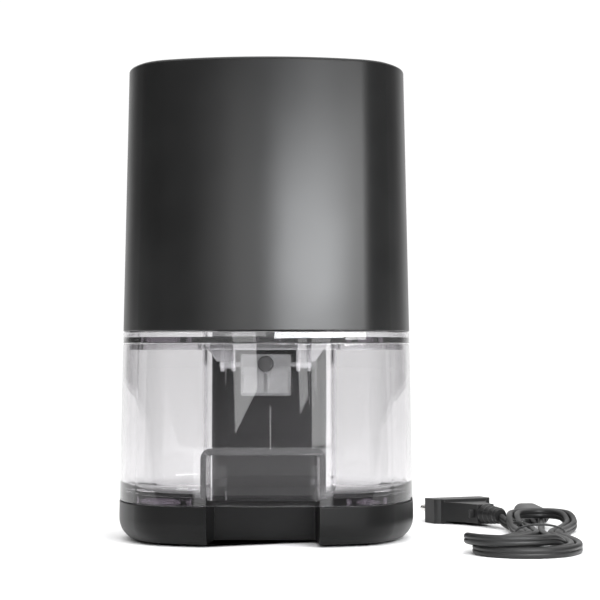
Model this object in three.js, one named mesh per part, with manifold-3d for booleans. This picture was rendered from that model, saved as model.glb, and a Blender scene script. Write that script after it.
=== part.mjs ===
// Desktop Peltier dehumidifier with a slide-out tank and a detachable mains lead.
// Millimetres, +Z up, origin on the floor under the middle of the unit, front towards -Y.

import * as THREE from "three";
import { mergeVertices } from "three/addons/utils/BufferGeometryUtils.js";
import Module from "manifold-3d";

const wasm = await Module();
wasm.setup();

// ---------------------------------------------------------------- driving dimensions

// Plan outline at the top edge: tangent arcs, mirrored in X and in Y.
const HALF_WIDTH = 70.7;
const HALF_DEPTH = 61;
const FRONT_RADIUS = 114;
const SIDE_RADIUS = 79;
const CORNER_RADIUS = 28.6;

const TOTAL_HEIGHT = 240;
const DRAFT = 0.02136; // outward growth of the outline for each millimetre further down
const WALL = 2.5;
const GAP = 0.3; // between pieces that touch
const DRIP_Y = 24; // where the water falls into the tank

const BASE = {
  bottom: 1.5,
  top: 20,
  deck: 2.5,
  recessFront: 28.4,
  recessBack: 25.4,
  recessEndY: -31,
};
const PLATE = { bottom: 1.8, top: 3.8, offset: -3.9 };
const FEET = { x: 46, y: 36, radius: 6.5, stem: 2.6, stemTop: 4.6, chamfer: 0.6 };
const BASE_SCREW = { x: 56, y: 14, boss: 4, bore: 1.6, boreTop: 13.5, clearance: 1.9 };

const COLUMN = {
  halfWidth: 31,
  frontY: 46,
  top: 105.7,
  radius: 10,
  screwX: 16,
  screwY: 55.5,
  bossHalf: 3.5,
  bossTop: 32,
  boreTop: 30,
};
const NOTCH = { halfWidth: 34, frontY: 43.9, radius: 12 };
const TANK = { bottom: 20.3, floor: 3, rim: 99.6, fillet: 7 };
const POCKET = { halfWidth: 28.5, top: 45.4, backY: -45.6, wall: 3, taper: 0.0033, radius: 2 };
const LID = {
  skirt: 96.5,
  plate: 99.9,
  step: 102.8,
  top: 105.5,
  clearance: 0.7, // between the skirt and the tank's wall
  skirtWall: 2.2,
  dripRadius: 6,
};
const FLOAT = {
  y: -10,
  z: 89,
  halfWidth: 12.65,
  halfDepth: 4,
  length: 20,
  bottom: 73.1,
  top: 93.7,
  pin: 1.3,
  pinEnd: 23.6,
};
const BRACKET = { inner: 15.5, outer: 21, plate: 2, web: 1.4, drop: 3.5, bore: 1.9, braceEnd: 32 };
const MAGNET = { radius: 4, thickness: 2.5, z: 89.4, rim: 1 };

const SHELL = { bottom: 106, ledgeBottom: 232, ledgeTop: 235, ledge: 3.4 };
const TRAY = { bottom: 106.3, top: 109 };
const COVER = { bottom: 235.3, top: 238.3 };
const SLOT = { count: 10, pitch: 7, radius: 1.8, margin: 3 };
const WINDOW = { halfWidth: 42, bottom: 134, top: 204, radius: 5 };
const LOUVRE = { pitch: 6.75, height: 3, first: 8, rib: 2.5, margin: 5 };
const REAR_SCREW = { x: 30, z: 113.5, hole: 3.4, bore: 1.7, head: 2.9, shank: 1.4 };
const INLET = {
  halfWidth: 11,
  bottom: 112,
  top: 125,
  frontY: 44,
  rearY: 63.2,
  depth: 14,
  mouthHalf: 7.6,
  mouthRadius: 4.3,
  pinX: 4.3,
  pin: 1.2,
};
const FUNNEL = { top: 139, halfWidth: 33, wall: 1.5, nozzleBottom: 106.8, nozzle: 5.8, bore: 4 };

const FAN = { y: 6, half: 40, bottom: 210, top: 230, duct: 38.5, hub: 17, hole: 35.75 };
const BUTTON = { y: -44, radius: 6.2, flange: 7.6, bottom: 233.8, flangeTop: 235, top: 239.6 };
const SWITCH = { half: 3, bottom: 228.3, top: 231.4, plunger: 1.7, plungerTop: 232 };
const LAMP = { x: 17, halfLength: 4, radius: 1.5, bottom: 233.5, top: 238.4 };
const CONTROL_BOARD = { x: [-28, 28], y: [-52, -36], z: [226.4, 228], postX: 24, post: 2.2 };
const POWER_BOARD = { x: [-57, -55.4], y: [-30, 30], z: [120, 200] };
const TRANSFORMER = { x: [-55.1, -42], y: [-14, 12], z: [128, 150] };
const CAPACITOR = { x: [-55.1, -41], y: -16, z: 176, radius: 7 };
const PELTIER = { z: 172, half: 20, frontY: 30.5, backY: 34.2 };
const CLAMP = { x: 28.5, bore: 1.8, head: 2.3, shank: 1.4 };

// Lead: its own plan axes u, v start at the waist of the hank.
const LEAD = {
  origin: [139, -16],
  cordThin: 3.4,
  cordWide: 5.4,
  hankHeight: 10.8,
  plugExit: [-13.6, 71.2],
  plugTurn: 25,
  plugEnd: [-11.3, 66.2],
  connectorExit: [9.7, 88],
  connectorTurn: 3,
  connectorEnd: [8.9, 79.4],
};
// Plug and connector: local +Y is the way they face, and the cord leaves at the origin.
const PLUG = { relief: 19, length: 55, halfFace: 17.6, thickness: 13.7 };
const PLUG_PIN = { x: 9.3, radius: 2, length: 19, seat: 6 };
const CONNECTOR = { relief: 16, length: 54, halfWidth: 7.3, thickness: 8.8, mouth: 1.5 };

const SIDES = [
  ["left", -1],
  ["right", 1],
];

// ---------------------------------------------------------------- materials

function material(color, roughness, metalness = 0, opacity = 1) {
  return new THREE.MeshStandardMaterial({
    color,
    roughness,
    metalness,
    opacity,
    transparent: opacity < 1,
  });
}

const MATERIALS = {
  satinBlack: material(0x2b2c2e, 0.42),
  darkPlastic: material(0x1f2022, 0.5),
  clear: material(0xe4e6e8, 0.06, 0, 0.3),
  floatPlastic: material(0xc9cbcd, 0.25, 0, 0.7),
  rubber: material(0x17171a, 0.8),
  steel: material(0xa9abae, 0.32, 1),
  brass: material(0xc8ccd0, 0.25, 1),
  aluminium: material(0xb9bcc0, 0.4, 1),
  ceramic: material(0xeceae4, 0.6),
  foam: material(0x34353a, 0.95),
  board: material(0x1f5a3a, 0.45),
  magnet: material(0x4c4d50, 0.35, 1),
  transformer: material(0xd9b44a, 0.5),
  capacitor: material(0x2a3a6b, 0.35),
  lens: material(0xdfe8ee, 0.1, 0, 0.6),
  cordBlack: material(0x121214, 0.48),
};

// ---------------------------------------------------------------- solids

function solidFrom(geometry) {
  const bare = geometry.clone();
  bare.deleteAttribute("normal");
  bare.deleteAttribute("uv");
  const merged = mergeVertices(bare, 1e-4);
  return new wasm.Manifold(
    new wasm.Mesh({
      numProp: 3,
      vertProperties: merged.attributes.position.array,
      triVerts: new Uint32Array(merged.index.array),
    }),
  );
}

function geometryFrom(solid) {
  const mesh = solid.getMesh();
  const geometry = new THREE.BufferGeometry();
  geometry.setAttribute("position", new THREE.BufferAttribute(mesh.vertProperties, 3));
  geometry.setIndex(new THREE.BufferAttribute(mesh.triVerts, 1));
  geometry.computeVertexNormals();
  return geometry;
}

function box([x0, x1], [y0, y1], [z0, z1]) {
  const geometry = new THREE.BoxGeometry(x1 - x0, y1 - y0, z1 - z0);
  geometry.translate((x0 + x1) / 2, (y0 + y1) / 2, (z0 + z1) / 2);
  return solidFrom(geometry);
}

function rod(x, y, [z0, z1], radius, sides = 12) {
  const geometry = new THREE.CylinderGeometry(radius, radius, z1 - z0, sides);
  geometry.rotateX(Math.PI / 2);
  geometry.translate(x, y, (z0 + z1) / 2);
  return solidFrom(geometry);
}

function rodAlongX([x0, x1], y, z, radius, sides = 12) {
  const geometry = new THREE.CylinderGeometry(radius, radius, x1 - x0, sides);
  geometry.rotateZ(Math.PI / 2);
  geometry.translate((x0 + x1) / 2, y, z);
  return solidFrom(geometry);
}

function rodAlongY(x, [y0, y1], z, radius, sides = 12) {
  const geometry = new THREE.CylinderGeometry(radius, radius, y1 - y0, sides);
  geometry.translate(x, (y0 + y1) / 2, z);
  return solidFrom(geometry);
}

// A turned piece: [radius, height] points from the axis, round the section and back to the axis.
function turned(x, y, profile, sides = 12) {
  const points = profile.map(([radius, z]) => new THREE.Vector2(radius, z));
  const geometry = new THREE.LatheGeometry(points, sides);
  geometry.rotateX(Math.PI / 2);
  geometry.translate(x, y, 0);
  return solidFrom(geometry);
}

function prism(shape, [z0, z1], curveSegments = 4) {
  const geometry = new THREE.ExtrudeGeometry(shape, {
    depth: z1 - z0,
    bevelEnabled: false,
    curveSegments,
  });
  geometry.translate(0, 0, z0);
  return solidFrom(geometry);
}

// A shape drawn in X and Z, pushed through from y0 to y1.
function prismAlongY(shape, [y0, y1], curveSegments = 4) {
  const geometry = new THREE.ExtrudeGeometry(shape, {
    depth: y1 - y0,
    bevelEnabled: false,
    curveSegments,
  });
  geometry.rotateX(Math.PI / 2);
  geometry.translate(0, y1, 0);
  return solidFrom(geometry);
}

// A shape drawn in Y and Z, pushed through from x0 to x1.
function prismAlongX(shape, [x0, x1], curveSegments = 4) {
  const geometry = new THREE.ExtrudeGeometry(shape, {
    depth: x1 - x0,
    bevelEnabled: false,
    curveSegments,
  });
  geometry.rotateX(Math.PI / 2);
  geometry.rotateZ(Math.PI / 2);
  geometry.translate(x0, 0, 0);
  return solidFrom(geometry);
}

function polygon(points) {
  return new THREE.Shape(points.map(([a, b]) => new THREE.Vector2(a, b)));
}

function roundedRectangle([a0, a1], [b0, b1], radius) {
  const shape = new THREE.Shape();
  shape.moveTo(a0 + radius, b0);
  shape.lineTo(a1 - radius, b0);
  shape.absarc(a1 - radius, b0 + radius, radius, -Math.PI / 2, 0);
  shape.lineTo(a1, b1 - radius);
  shape.absarc(a1 - radius, b1 - radius, radius, 0, Math.PI / 2);
  shape.lineTo(a0 + radius, b1);
  shape.absarc(a0 + radius, b1 - radius, radius, Math.PI / 2, Math.PI);
  shape.lineTo(a0, b0 + radius);
  shape.absarc(a0 + radius, b0 + radius, radius, Math.PI, 1.5 * Math.PI);
  return shape;
}

function stadium(a, b, halfLength, radius) {
  return roundedRectangle([a - halfLength, a + halfLength], [b - radius, b + radius], radius * 0.999);
}

// A range on one side of the middle.
const sided = (side, near, far) => (side > 0 ? [near, far] : [-far, -near]);

const bothSides = (make) => SIDES.map(([, side]) => make(side));
const union = (solids) => solids.reduce((joined, solid) => joined.add(solid));
const cut = (solid, tools) => tools.reduce((left, tool) => left.subtract(tool), solid);

// ---------------------------------------------------------------- plan outline

// Centre of the back right corner arc, which touches the back arc and the side arc.
function cornerCentre() {
  const back = new THREE.Vector2(0, HALF_DEPTH - FRONT_RADIUS);
  const side = new THREE.Vector2(HALF_WIDTH - SIDE_RADIUS, 0);
  const fromBack = FRONT_RADIUS - CORNER_RADIUS;
  const fromSide = SIDE_RADIUS - CORNER_RADIUS;
  const line = side.clone().sub(back);
  const apart = line.length();
  line.normalize();
  const along = (fromBack ** 2 - fromSide ** 2 + apart ** 2) / (2 * apart);
  const across = Math.sqrt(fromBack ** 2 - along ** 2);
  const normal = new THREE.Vector2(line.y, -line.x);
  return back.addScaledVector(line, along).addScaledVector(normal, across);
}

// The outline as arcs [centre x, centre y, radius, start angle, end angle, steps], anticlockwise.
function outlineArcs() {
  const corner = cornerCentre();
  const sideX = HALF_WIDTH - SIDE_RADIUS;
  const backY = HALF_DEPTH - FRONT_RADIUS;
  const sideAngle = Math.atan2(corner.y, corner.x - sideX);
  const backAngle = Math.atan2(corner.y - backY, corner.x);
  const half = [
    [sideX, 0, SIDE_RADIUS, -sideAngle, sideAngle, 6],
    [corner.x, corner.y, CORNER_RADIUS, sideAngle, backAngle, 4],
    [0, backY, FRONT_RADIUS, backAngle, Math.PI - backAngle, 8],
    [-corner.x, corner.y, CORNER_RADIUS, Math.PI - backAngle, Math.PI - sideAngle, 4],
  ];
  const turnedHalf = half.map(([x, y, r, a, b, steps]) => [-x, -y, r, a + Math.PI, b + Math.PI, steps]);
  return [...half, ...turnedHalf];
}

const ARCS = outlineArcs();

function outlinePoints(offset) {
  const points = [];
  for (const [x, y, radius, start, end, steps] of ARCS) {
    for (let step = 0; step < steps; step += 1) {
      const angle = start + ((end - start) * step) / steps;
      const reach = radius + offset;
      points.push([x + reach * Math.cos(angle), y + reach * Math.sin(angle)]);
    }
  }
  return points;
}

const draft = (z) => (TOTAL_HEIGHT - z) * DRAFT;

// A solid whose section at each [height, offset] level is the plan outline grown by the offset.
function loft(levels) {
  const rings = levels.map(([z, offset]) => outlinePoints(offset).map(([x, y]) => [x, y, z]));
  const count = rings[0].length;
  const last = (rings.length - 1) * count;
  const faces = [];
  for (let start = 0; start < last; start += count) {
    for (let i = 0; i < count; i += 1) {
      const next = (i + 1) % count;
      faces.push(start + i, start + next, start + next + count);
      faces.push(start + i, start + next + count, start + i + count);
    }
  }
  for (let i = 1; i + 1 < count; i += 1) {
    faces.push(0, i + 1, i);
    faces.push(last, last + i, last + i + 1);
  }
  const geometry = new THREE.BufferGeometry();
  geometry.setAttribute("position", new THREE.Float32BufferAttribute(rings.flat(2), 3));
  geometry.setIndex(faces);
  return solidFrom(geometry);
}

// The same, for a wall that follows the draft at a steady distance inside the outer face.
function drafted([z0, z1], inset = 0) {
  return loft([
    [z0, draft(z0) - inset],
    [z1, draft(z1) - inset],
  ]);
}

// ---------------------------------------------------------------- shared cut-outs

// The clearance that the tank and its lid leave round the column.
function notch([z0, z1], grow = 0) {
  const reach = NOTCH.halfWidth + grow;
  const shape = roundedRectangle([-reach, reach], [NOTCH.frontY - grow, 95], NOTCH.radius + grow);
  return prism(shape, [z0, z1]);
}

// The finger pocket in the tank's front. It narrows towards its back wall.
function pocket(bottom, grow = 0) {
  const reach = POCKET.halfWidth + grow;
  const top = POCKET.top + grow;
  const radius = POCKET.radius + grow;
  const frontY = -70;
  const backY = POCKET.backY + grow;
  const shape = new THREE.Shape();
  shape.moveTo(-reach, bottom);
  shape.lineTo(reach, bottom);
  shape.lineTo(reach, top - radius);
  shape.absarc(reach - radius, top - radius, radius, 0, Math.PI / 2);
  shape.lineTo(radius - reach, top);
  shape.absarc(radius - reach, top - radius, radius, Math.PI / 2, Math.PI);
  const geometry = new THREE.ExtrudeGeometry(shape, {
    depth: backY - frontY,
    bevelEnabled: false,
    curveSegments: 3,
  });
  geometry.rotateX(Math.PI / 2);
  geometry.translate(0, backY, 0);
  const position = geometry.attributes.position;
  for (let i = 0; i < position.count; i += 1) {
    const depth = position.getY(i) - frontY;
    position.setX(i, position.getX(i) * (1 - POCKET.taper * depth));
  }
  return solidFrom(geometry);
}

// The finger cut-out in the base, under the tank's lip.
function baseRecess([z0, z1], grow = 0) {
  const front = BASE.recessFront + grow;
  const back = BASE.recessBack + grow;
  const endY = BASE.recessEndY + grow;
  const shape = polygon([
    [-front, -72],
    [front, -72],
    [back, endY],
    [-back, endY],
  ]);
  return prism(shape, [z0, z1]);
}

// ---------------------------------------------------------------- base and column

const BASE_PROFILE = [
  [BASE.bottom, -0.8],
  [2.6, 1],
  [5, 3.1],
  [8, 4.4],
  [11, 4.85],
  [BASE.top, draft(BASE.top)],
];

function fourCorners(x, y) {
  return [
    ["front_left", -x, -y],
    ["front_right", x, -y],
    ["rear_left", -x, y],
    ["rear_right", x, y],
  ];
}

function base() {
  const deckBottom = BASE.top - BASE.deck;
  const hollow = loft([
    [1.2, PLATE.offset + GAP],
    [4.3, PLATE.offset + GAP],
    [4.3, 0.4],
    [8, 1.9],
    [deckBottom, 2.2],
  ]);
  const { boss, bore, boreTop } = BASE_SCREW;
  const screws = fourCorners(BASE_SCREW.x, BASE_SCREW.y);
  const bosses = screws.map(([, x, y]) => rod(x, y, [PLATE.top + GAP, deckBottom + 0.5], boss));
  const bores = screws.map(([, x, y]) => rod(x, y, [PLATE.bottom, boreTop], bore));
  const columnHoles = bothSides((side) =>
    rod(side * COLUMN.screwX, COLUMN.screwY, [BASE.top - 10, BASE.top + 5], 2.1),
  );
  const walls = cut(loft(BASE_PROFILE), [cut(hollow, [baseRecess([1, 19], WALL)])]);
  return cut(union([walls, ...bosses]), [baseRecess([0, 22]), ...bores, ...columnHoles]);
}

function basePlate() {
  const plate = loft([
    [PLATE.bottom, PLATE.offset],
    [PLATE.top, PLATE.offset],
  ]);
  const stemHoles = fourCorners(FEET.x, FEET.y).map(([, x, y]) => rod(x, y, [0, 6], FEET.stem + GAP));
  const screwHoles = fourCorners(BASE_SCREW.x, BASE_SCREW.y).map(([, x, y]) =>
    rod(x, y, [0, 6], BASE_SCREW.clearance),
  );
  return cut(plate, [baseRecess([0, 6], WALL + GAP), ...stemHoles, ...screwHoles]);
}

function foot(x, y) {
  const top = PLATE.bottom - GAP;
  return turned(x, y, [
    [0, 0],
    [FEET.radius - FEET.chamfer, 0],
    [FEET.radius, FEET.chamfer],
    [FEET.radius, top],
    [FEET.stem, top],
    [FEET.stem, FEET.stemTop],
    [0, FEET.stemTop],
  ]);
}

// A flat-head screw that points up, with its head's underside at z.
function screwUp(x, y, z, length, headRadius, shankRadius) {
  const profile = [
    [0, z - 0.9],
    [headRadius - 0.3, z - 0.9],
    [headRadius, z],
    [shankRadius, z],
    [shankRadius, z + length],
    [0, z + length],
  ];
  return turned(x, y, profile, 8);
}

function rearColumn() {
  const levels = [BASE.top + GAP, COLUMN.top];
  const outside = roundedRectangle(
    [-COLUMN.halfWidth, COLUMN.halfWidth],
    [COLUMN.frontY, 95],
    COLUMN.radius,
  );
  const inside = roundedRectangle(
    [WALL - COLUMN.halfWidth, COLUMN.halfWidth - WALL],
    [COLUMN.frontY + WALL, 95],
    COLUMN.radius - WALL + 0.5,
  );
  const skin = drafted(levels).intersect(prism(outside, [10, 120]));
  const hollow = drafted([10, 120], WALL).intersect(prism(inside, [10, 120]));
  const { screwX, screwY, bossHalf, bossTop, boreTop } = COLUMN;
  const bosses = bothSides((side) =>
    box(
      [side * screwX - bossHalf, side * screwX + bossHalf],
      [COLUMN.frontY + 1, screwY + bossHalf],
      [levels[0], bossTop],
    ),
  );
  const bores = bothSides((side) => rod(side * screwX, screwY, [levels[0] - 1, boreTop], 1.8));
  return cut(union([cut(skin, [hollow]), ...bosses]), bores);
}

// ---------------------------------------------------------------- tank, lid and float

function tank() {
  const floorTop = TANK.bottom + TANK.floor;
  const filletLevels = [0, 30, 60, 90].map((degrees) => {
    const angle = THREE.MathUtils.degToRad(degrees);
    const level = floorTop + TANK.fillet * (1 - Math.cos(angle));
    return [level, draft(level) - WALL - TANK.fillet * (1 - Math.sin(angle))];
  });
  const above = TANK.rim + 1;
  const water = loft([...filletLevels, [above, draft(above) - WALL]]);
  const hollow = cut(water, [notch([10, 120], WALL), pocket(10, POCKET.wall)]);
  return cut(drafted([TANK.bottom, TANK.rim]), [notch([10, 120]), hollow, pocket(floorTop)]);
}

// One of the two brackets that hang from the lid and hold the float's pin.
function floatBracket(side) {
  const { inner, outer, plate, web, drop, braceEnd } = BRACKET;
  const root = LID.plate + 0.5;
  const depth = [FLOAT.y - FLOAT.halfDepth, FLOAT.y + FLOAT.halfDepth];
  const plates = [inner, outer].map((x) =>
    box(sided(side, x, x + plate), depth, [FLOAT.z - drop, root]),
  );
  const back = box(
    sided(side, inner + 0.5, outer + plate - 0.5),
    [depth[1] - web, depth[1]],
    [FLOAT.z - 2, root],
  );
  const foot = side * (outer + plate - 0.5);
  const brace = polygon([
    [foot, root],
    [foot, FLOAT.z],
    [side * braceEnd, root],
  ]);
  return union([...plates, back, prismAlongY(brace, [FLOAT.y - 1, FLOAT.y + 1])]);
}

function tankLid() {
  const { skirt, plate, step, top } = LID;
  const outside = WALL + LID.clearance;
  const inside = outside + LID.skirtWall;
  const through = [skirt - 2, top + 2];
  const body = cut(drafted([plate, top]), [notch(through)]);
  const dish = cut(drafted([step, top + 1], WALL), [notch(through, WALL)]);
  const collar = cut(drafted([skirt, plate + 0.5], outside), [notch(through, outside)]);
  const mouth = cut(drafted([skirt - 1, plate], inside), [notch(through, inside)]);
  const ring = cut(collar, [mouth]);
  return cut(union([body, ring, ...bothSides(floatBracket)]), [
    dish,
    rodAlongX([-BRACKET.braceEnd, BRACKET.braceEnd], FLOAT.y, FLOAT.z, BRACKET.bore),
    rod(0, DRIP_Y, through, LID.dripRadius, 20),
  ]);
}

function float() {
  const { y, z, halfWidth, halfDepth, length, bottom, top, pin, pinEnd } = FLOAT;
  const frontY = y - halfDepth;
  const profile = polygon([
    [frontY, bottom],
    [frontY + length, bottom + 1.5],
    [frontY + length, top - 10],
    [frontY + 5, top],
    [frontY, top],
  ]);
  const body = prismAlongX(profile, [-halfWidth, halfWidth]);
  const axle = rodAlongX([-pinEnd, pinEnd], y, z, pin);
  const boss = rodAlongY(0, [frontY - MAGNET.rim, frontY + 2], MAGNET.z, MAGNET.radius + MAGNET.rim);
  const seatEnd = frontY + MAGNET.thickness - 0.4;
  const seat = rodAlongY(0, [frontY - 2, seatEnd], MAGNET.z, MAGNET.radius + GAP);
  const windows = bothSides((side) =>
    box(
      sided(side, 1.1, halfWidth - 1.2),
      [frontY - 1, frontY + 1.2],
      [bottom + 1.2, bottom + 9.5],
    ),
  );
  return cut(union([body, axle, boss]), [seat, ...windows]);
}

function floatMagnet() {
  const frontY = FLOAT.y - FLOAT.halfDepth - 0.7;
  return rodAlongY(0, [frontY, frontY + MAGNET.thickness], MAGNET.z, MAGNET.radius);
}

// ---------------------------------------------------------------- upper housing

// Depths that reach past both faces of the shell's back and of its top.
const THROUGH_BACK = [50, 70];
const THROUGH_TOP = [230, 245];

function shellCavity() {
  const { ledgeBottom, ledgeTop, ledge } = SHELL;
  const under = draft(ledgeBottom) - WALL;
  const over = draft(ledgeTop) - WALL;
  return loft([
    [SHELL.bottom - 1, draft(SHELL.bottom - 1) - WALL],
    [ledgeBottom, under],
    [ledgeBottom, under - ledge],
    [ledgeTop, over - ledge],
    [ledgeTop, over],
    [TOTAL_HEIGHT + 1, over],
  ]);
}

function windowShape(shrink = 0) {
  const reach = WINDOW.halfWidth - shrink;
  return roundedRectangle(
    [-reach, reach],
    [WINDOW.bottom + shrink, WINDOW.top - shrink],
    WINDOW.radius - shrink,
  );
}

function outerShell() {
  const body = loft([
    [SHELL.bottom, draft(SHELL.bottom)],
    [TOTAL_HEIGHT - 1.4, draft(TOTAL_HEIGHT - 1.4)],
    [TOTAL_HEIGHT - 0.4, -0.4],
    [TOTAL_HEIGHT, -1.3],
  ]);
  const inletHole = roundedRectangle(
    [-INLET.halfWidth - GAP, INLET.halfWidth + GAP],
    [INLET.bottom - GAP, INLET.top + GAP],
    2,
  );
  const screwHoles = bothSides((side) =>
    rodAlongY(side * REAR_SCREW.x, THROUGH_BACK, REAR_SCREW.z, REAR_SCREW.hole),
  );
  return cut(body, [
    shellCavity(),
    prismAlongY(windowShape(), THROUGH_BACK),
    prismAlongY(inletHole, THROUGH_BACK),
    ...screwHoles,
  ]);
}

function rearGrille() {
  const levels = [WINDOW.bottom - 1, WINDOW.top + 1];
  const skin = cut(drafted(levels, 0.2), [drafted([levels[0] - 1, levels[1] + 1], WALL)]);
  const panel = skin.intersect(prismAlongY(windowShape(GAP), THROUGH_BACK));
  const half = LOUVRE.height / 2;
  const last = WINDOW.top - LOUVRE.first;
  const slots = [];
  for (let z = WINDOW.bottom + LOUVRE.first; z <= last; z += LOUVRE.pitch) {
    for (const [, side] of SIDES) {
      const across = sided(side, LOUVRE.rib, WINDOW.halfWidth - LOUVRE.margin);
      slots.push(box(across, THROUGH_BACK, [z - half, z + half]));
    }
  }
  return cut(panel, slots);
}

function tray() {
  const plate = drafted([TRAY.bottom, TRAY.top], WALL + GAP);
  const bosses = bothSides((side) =>
    box(
      [side * REAR_SCREW.x - 4, side * REAR_SCREW.x + 4],
      [47, 55.6],
      [TRAY.bottom + 1, REAR_SCREW.z + 4],
    ),
  );
  const bores = bothSides((side) =>
    rodAlongY(side * REAR_SCREW.x, [49, 70], REAR_SCREW.z, REAR_SCREW.bore),
  );
  const dripHole = rod(0, DRIP_Y, [TRAY.bottom - 1, TRAY.top + 1], FUNNEL.nozzle + 0.7, 20);
  return cut(union([plate, ...bosses]), [dripHole, ...bores]);
}

// A screw in the back of the shell, with its head sunk in the wall.
function rearScrew(side) {
  const x = side * REAR_SCREW.x;
  return union([
    rodAlongY(x, [56.2, 58.4], REAR_SCREW.z, REAR_SCREW.head),
    rodAlongY(x, [50, 56.4], REAR_SCREW.z, REAR_SCREW.shank),
  ]);
}

function topCover() {
  const inset = WALL + GAP;
  const plate = loft([
    [COVER.bottom, draft(COVER.bottom) - inset],
    [COVER.top, draft(COVER.bottom) - inset],
  ]);
  const underside = COVER.bottom + 0.5;
  const holes = fourCorners(FAN.hole, FAN.hole);
  const fanBosses = holes.map(([, x, y]) => rod(x, FAN.y + y, [FAN.top + GAP, underside], 3.2));
  const bores = holes.map(([, x, y]) => rod(x, FAN.y + y, [FAN.top, underside + 0.7], 1.8));
  const postBottom = CONTROL_BOARD.z[1] + GAP;
  const boardPosts = bothSides((side) =>
    rod(side * CONTROL_BOARD.postX, BUTTON.y, [postBottom, underside], CONTROL_BOARD.post),
  );
  const slots = [];
  const reach = FAN.duct - SLOT.margin;
  const last = (SLOT.pitch * (SLOT.count - 1)) / 2;
  for (let dy = -last; dy <= last; dy += SLOT.pitch) {
    const half = Math.sqrt(reach ** 2 - dy ** 2);
    slots.push(prism(stadium(0, FAN.y + dy, half, SLOT.radius), THROUGH_TOP, 2));
  }
  const lampHole = stadium(LAMP.x, BUTTON.y, LAMP.halfLength + GAP, LAMP.radius + GAP);
  return cut(union([plate, ...fanBosses, ...boardPosts]), [
    ...bores,
    ...slots,
    rod(0, BUTTON.y, THROUGH_TOP, BUTTON.radius + 0.4, 24),
    prism(lampHole, THROUGH_TOP, 3),
  ]);
}

// An open basin under the cold heatsink that runs down to a nozzle over the lid's drip hole.
function dripFunnel() {
  const { top, halfWidth, wall, nozzleBottom } = FUNNEL;
  const outside = polygon([
    [16, 112],
    [42, 126.2],
    [54.8, 127.6],
    [54.8, top],
    [32, top],
    [32, 127.5],
    [16, 120],
  ]);
  const inside = polygon([
    [18, 115],
    [42, 128.4],
    [52.8, 129.6],
    [52.8, top + 3],
    [34, top + 3],
    [34, 131],
    [18, 124],
  ]);
  const basin = prismAlongX(outside, [-halfWidth, halfWidth]);
  const hollow = prismAlongX(inside, [wall - halfWidth, halfWidth - wall]);
  const nozzle = rod(0, DRIP_Y, [nozzleBottom, 119.9], FUNNEL.nozzle, 20);
  const bore = rod(0, DRIP_Y, [nozzleBottom - 1, 125], FUNNEL.bore, 20);
  return cut(union([basin, nozzle]), [hollow, bore]);
}

// ---------------------------------------------------------------- Peltier stack

// A finned heatsink: a plate from plateY[0] to plateY[1] and fins that reach to finY.
function heatsink(halfWidth, plateY, finY, [z0, z1], fins, finThickness) {
  const rootY = finY > plateY[1] ? plateY[1] : plateY[0];
  const farY = finY > plateY[1] ? plateY[0] : plateY[1];
  const pitch = (2 * halfWidth - finThickness) / (fins - 1);
  const points = [[-halfWidth, farY]];
  for (let fin = 0; fin < fins; fin += 1) {
    const left = -halfWidth + fin * pitch;
    points.push([left, rootY], [left, finY], [left + finThickness, finY]);
    points.push([left + finThickness, rootY]);
  }
  points.push([halfWidth, farY]);
  points.splice(1, 1);
  points.splice(-2, 1);
  return prism(polygon(points), [z0, z1]);
}

function clampBores() {
  return bothSides((side) => rodAlongY(side * CLAMP.x, [20, 45], PELTIER.z, CLAMP.bore, 10));
}

function coldHeatsink() {
  return cut(heatsink(31, [34.5, 38], 52.4, [142, 202], 9, 1.6), clampBores());
}

function hotHeatsink() {
  return cut(heatsink(40, [26.2, 30.2], -2, [136, 208], 12, 1.6), clampBores());
}

function insulationFrame() {
  const outside = roundedRectangle([-36, 36], [140, 204], 2);
  const opening = PELTIER.half + GAP;
  const hole = box(
    [-opening, opening],
    [25, 40],
    [PELTIER.z - opening, PELTIER.z + opening],
  );
  const slab = prismAlongY(outside, [PELTIER.frontY, PELTIER.backY], 2);
  return cut(slab, [hole, ...clampBores()]);
}

function peltierModule() {
  const plateShape = roundedRectangle(
    [-PELTIER.half, PELTIER.half],
    [PELTIER.z - PELTIER.half, PELTIER.z + PELTIER.half],
    0.8,
  );
  const core = box(
    [1 - PELTIER.half, PELTIER.half - 1],
    [PELTIER.frontY + 0.5, PELTIER.backY - 0.5],
    [PELTIER.z - PELTIER.half + 1, PELTIER.z + PELTIER.half - 1],
  );
  return union([
    prismAlongY(plateShape, [PELTIER.frontY, PELTIER.frontY + 0.9], 2),
    core,
    prismAlongY(plateShape, [PELTIER.backY - 0.9, PELTIER.backY], 2),
  ]);
}

function clampScrew(side) {
  return union([
    rodAlongY(side * CLAMP.x, [23.4, 25.9], PELTIER.z, CLAMP.head),
    rodAlongY(side * CLAMP.x, [25.5, 37], PELTIER.z, CLAMP.shank),
  ]);
}

// ---------------------------------------------------------------- fan

function fanFrame() {
  const outside = roundedRectangle([-FAN.half, FAN.half], [FAN.y - FAN.half, FAN.y + FAN.half], 4);
  const body = prism(outside, [FAN.bottom, FAN.top]);
  const through = [FAN.bottom - 2, FAN.top + 2];
  const duct = rod(0, FAN.y, through, FAN.duct, 40);
  const holes = fourCorners(FAN.hole, FAN.hole).map(([, x, y]) => rod(x, FAN.y + y, through, 2.1));
  const struts = [0, 1, 2, 3].map((quarter) => {
    const geometry = new THREE.BoxGeometry(3.2, 26, 2.4);
    geometry.translate(0, 28, FAN.bottom + 1.2);
    geometry.rotateZ((quarter * Math.PI) / 2 + 0.5);
    geometry.translate(0, FAN.y, 0);
    return solidFrom(geometry);
  });
  const plate = rod(0, FAN.y, [FAN.bottom, FAN.bottom + 2], FAN.hub, 24);
  const shaftHole = rod(0, FAN.y, [through[0], FAN.bottom + 5], 2.2);
  return cut(union([cut(body, [duct]), plate, ...struts]), [shaftHole, ...holes]);
}

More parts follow.
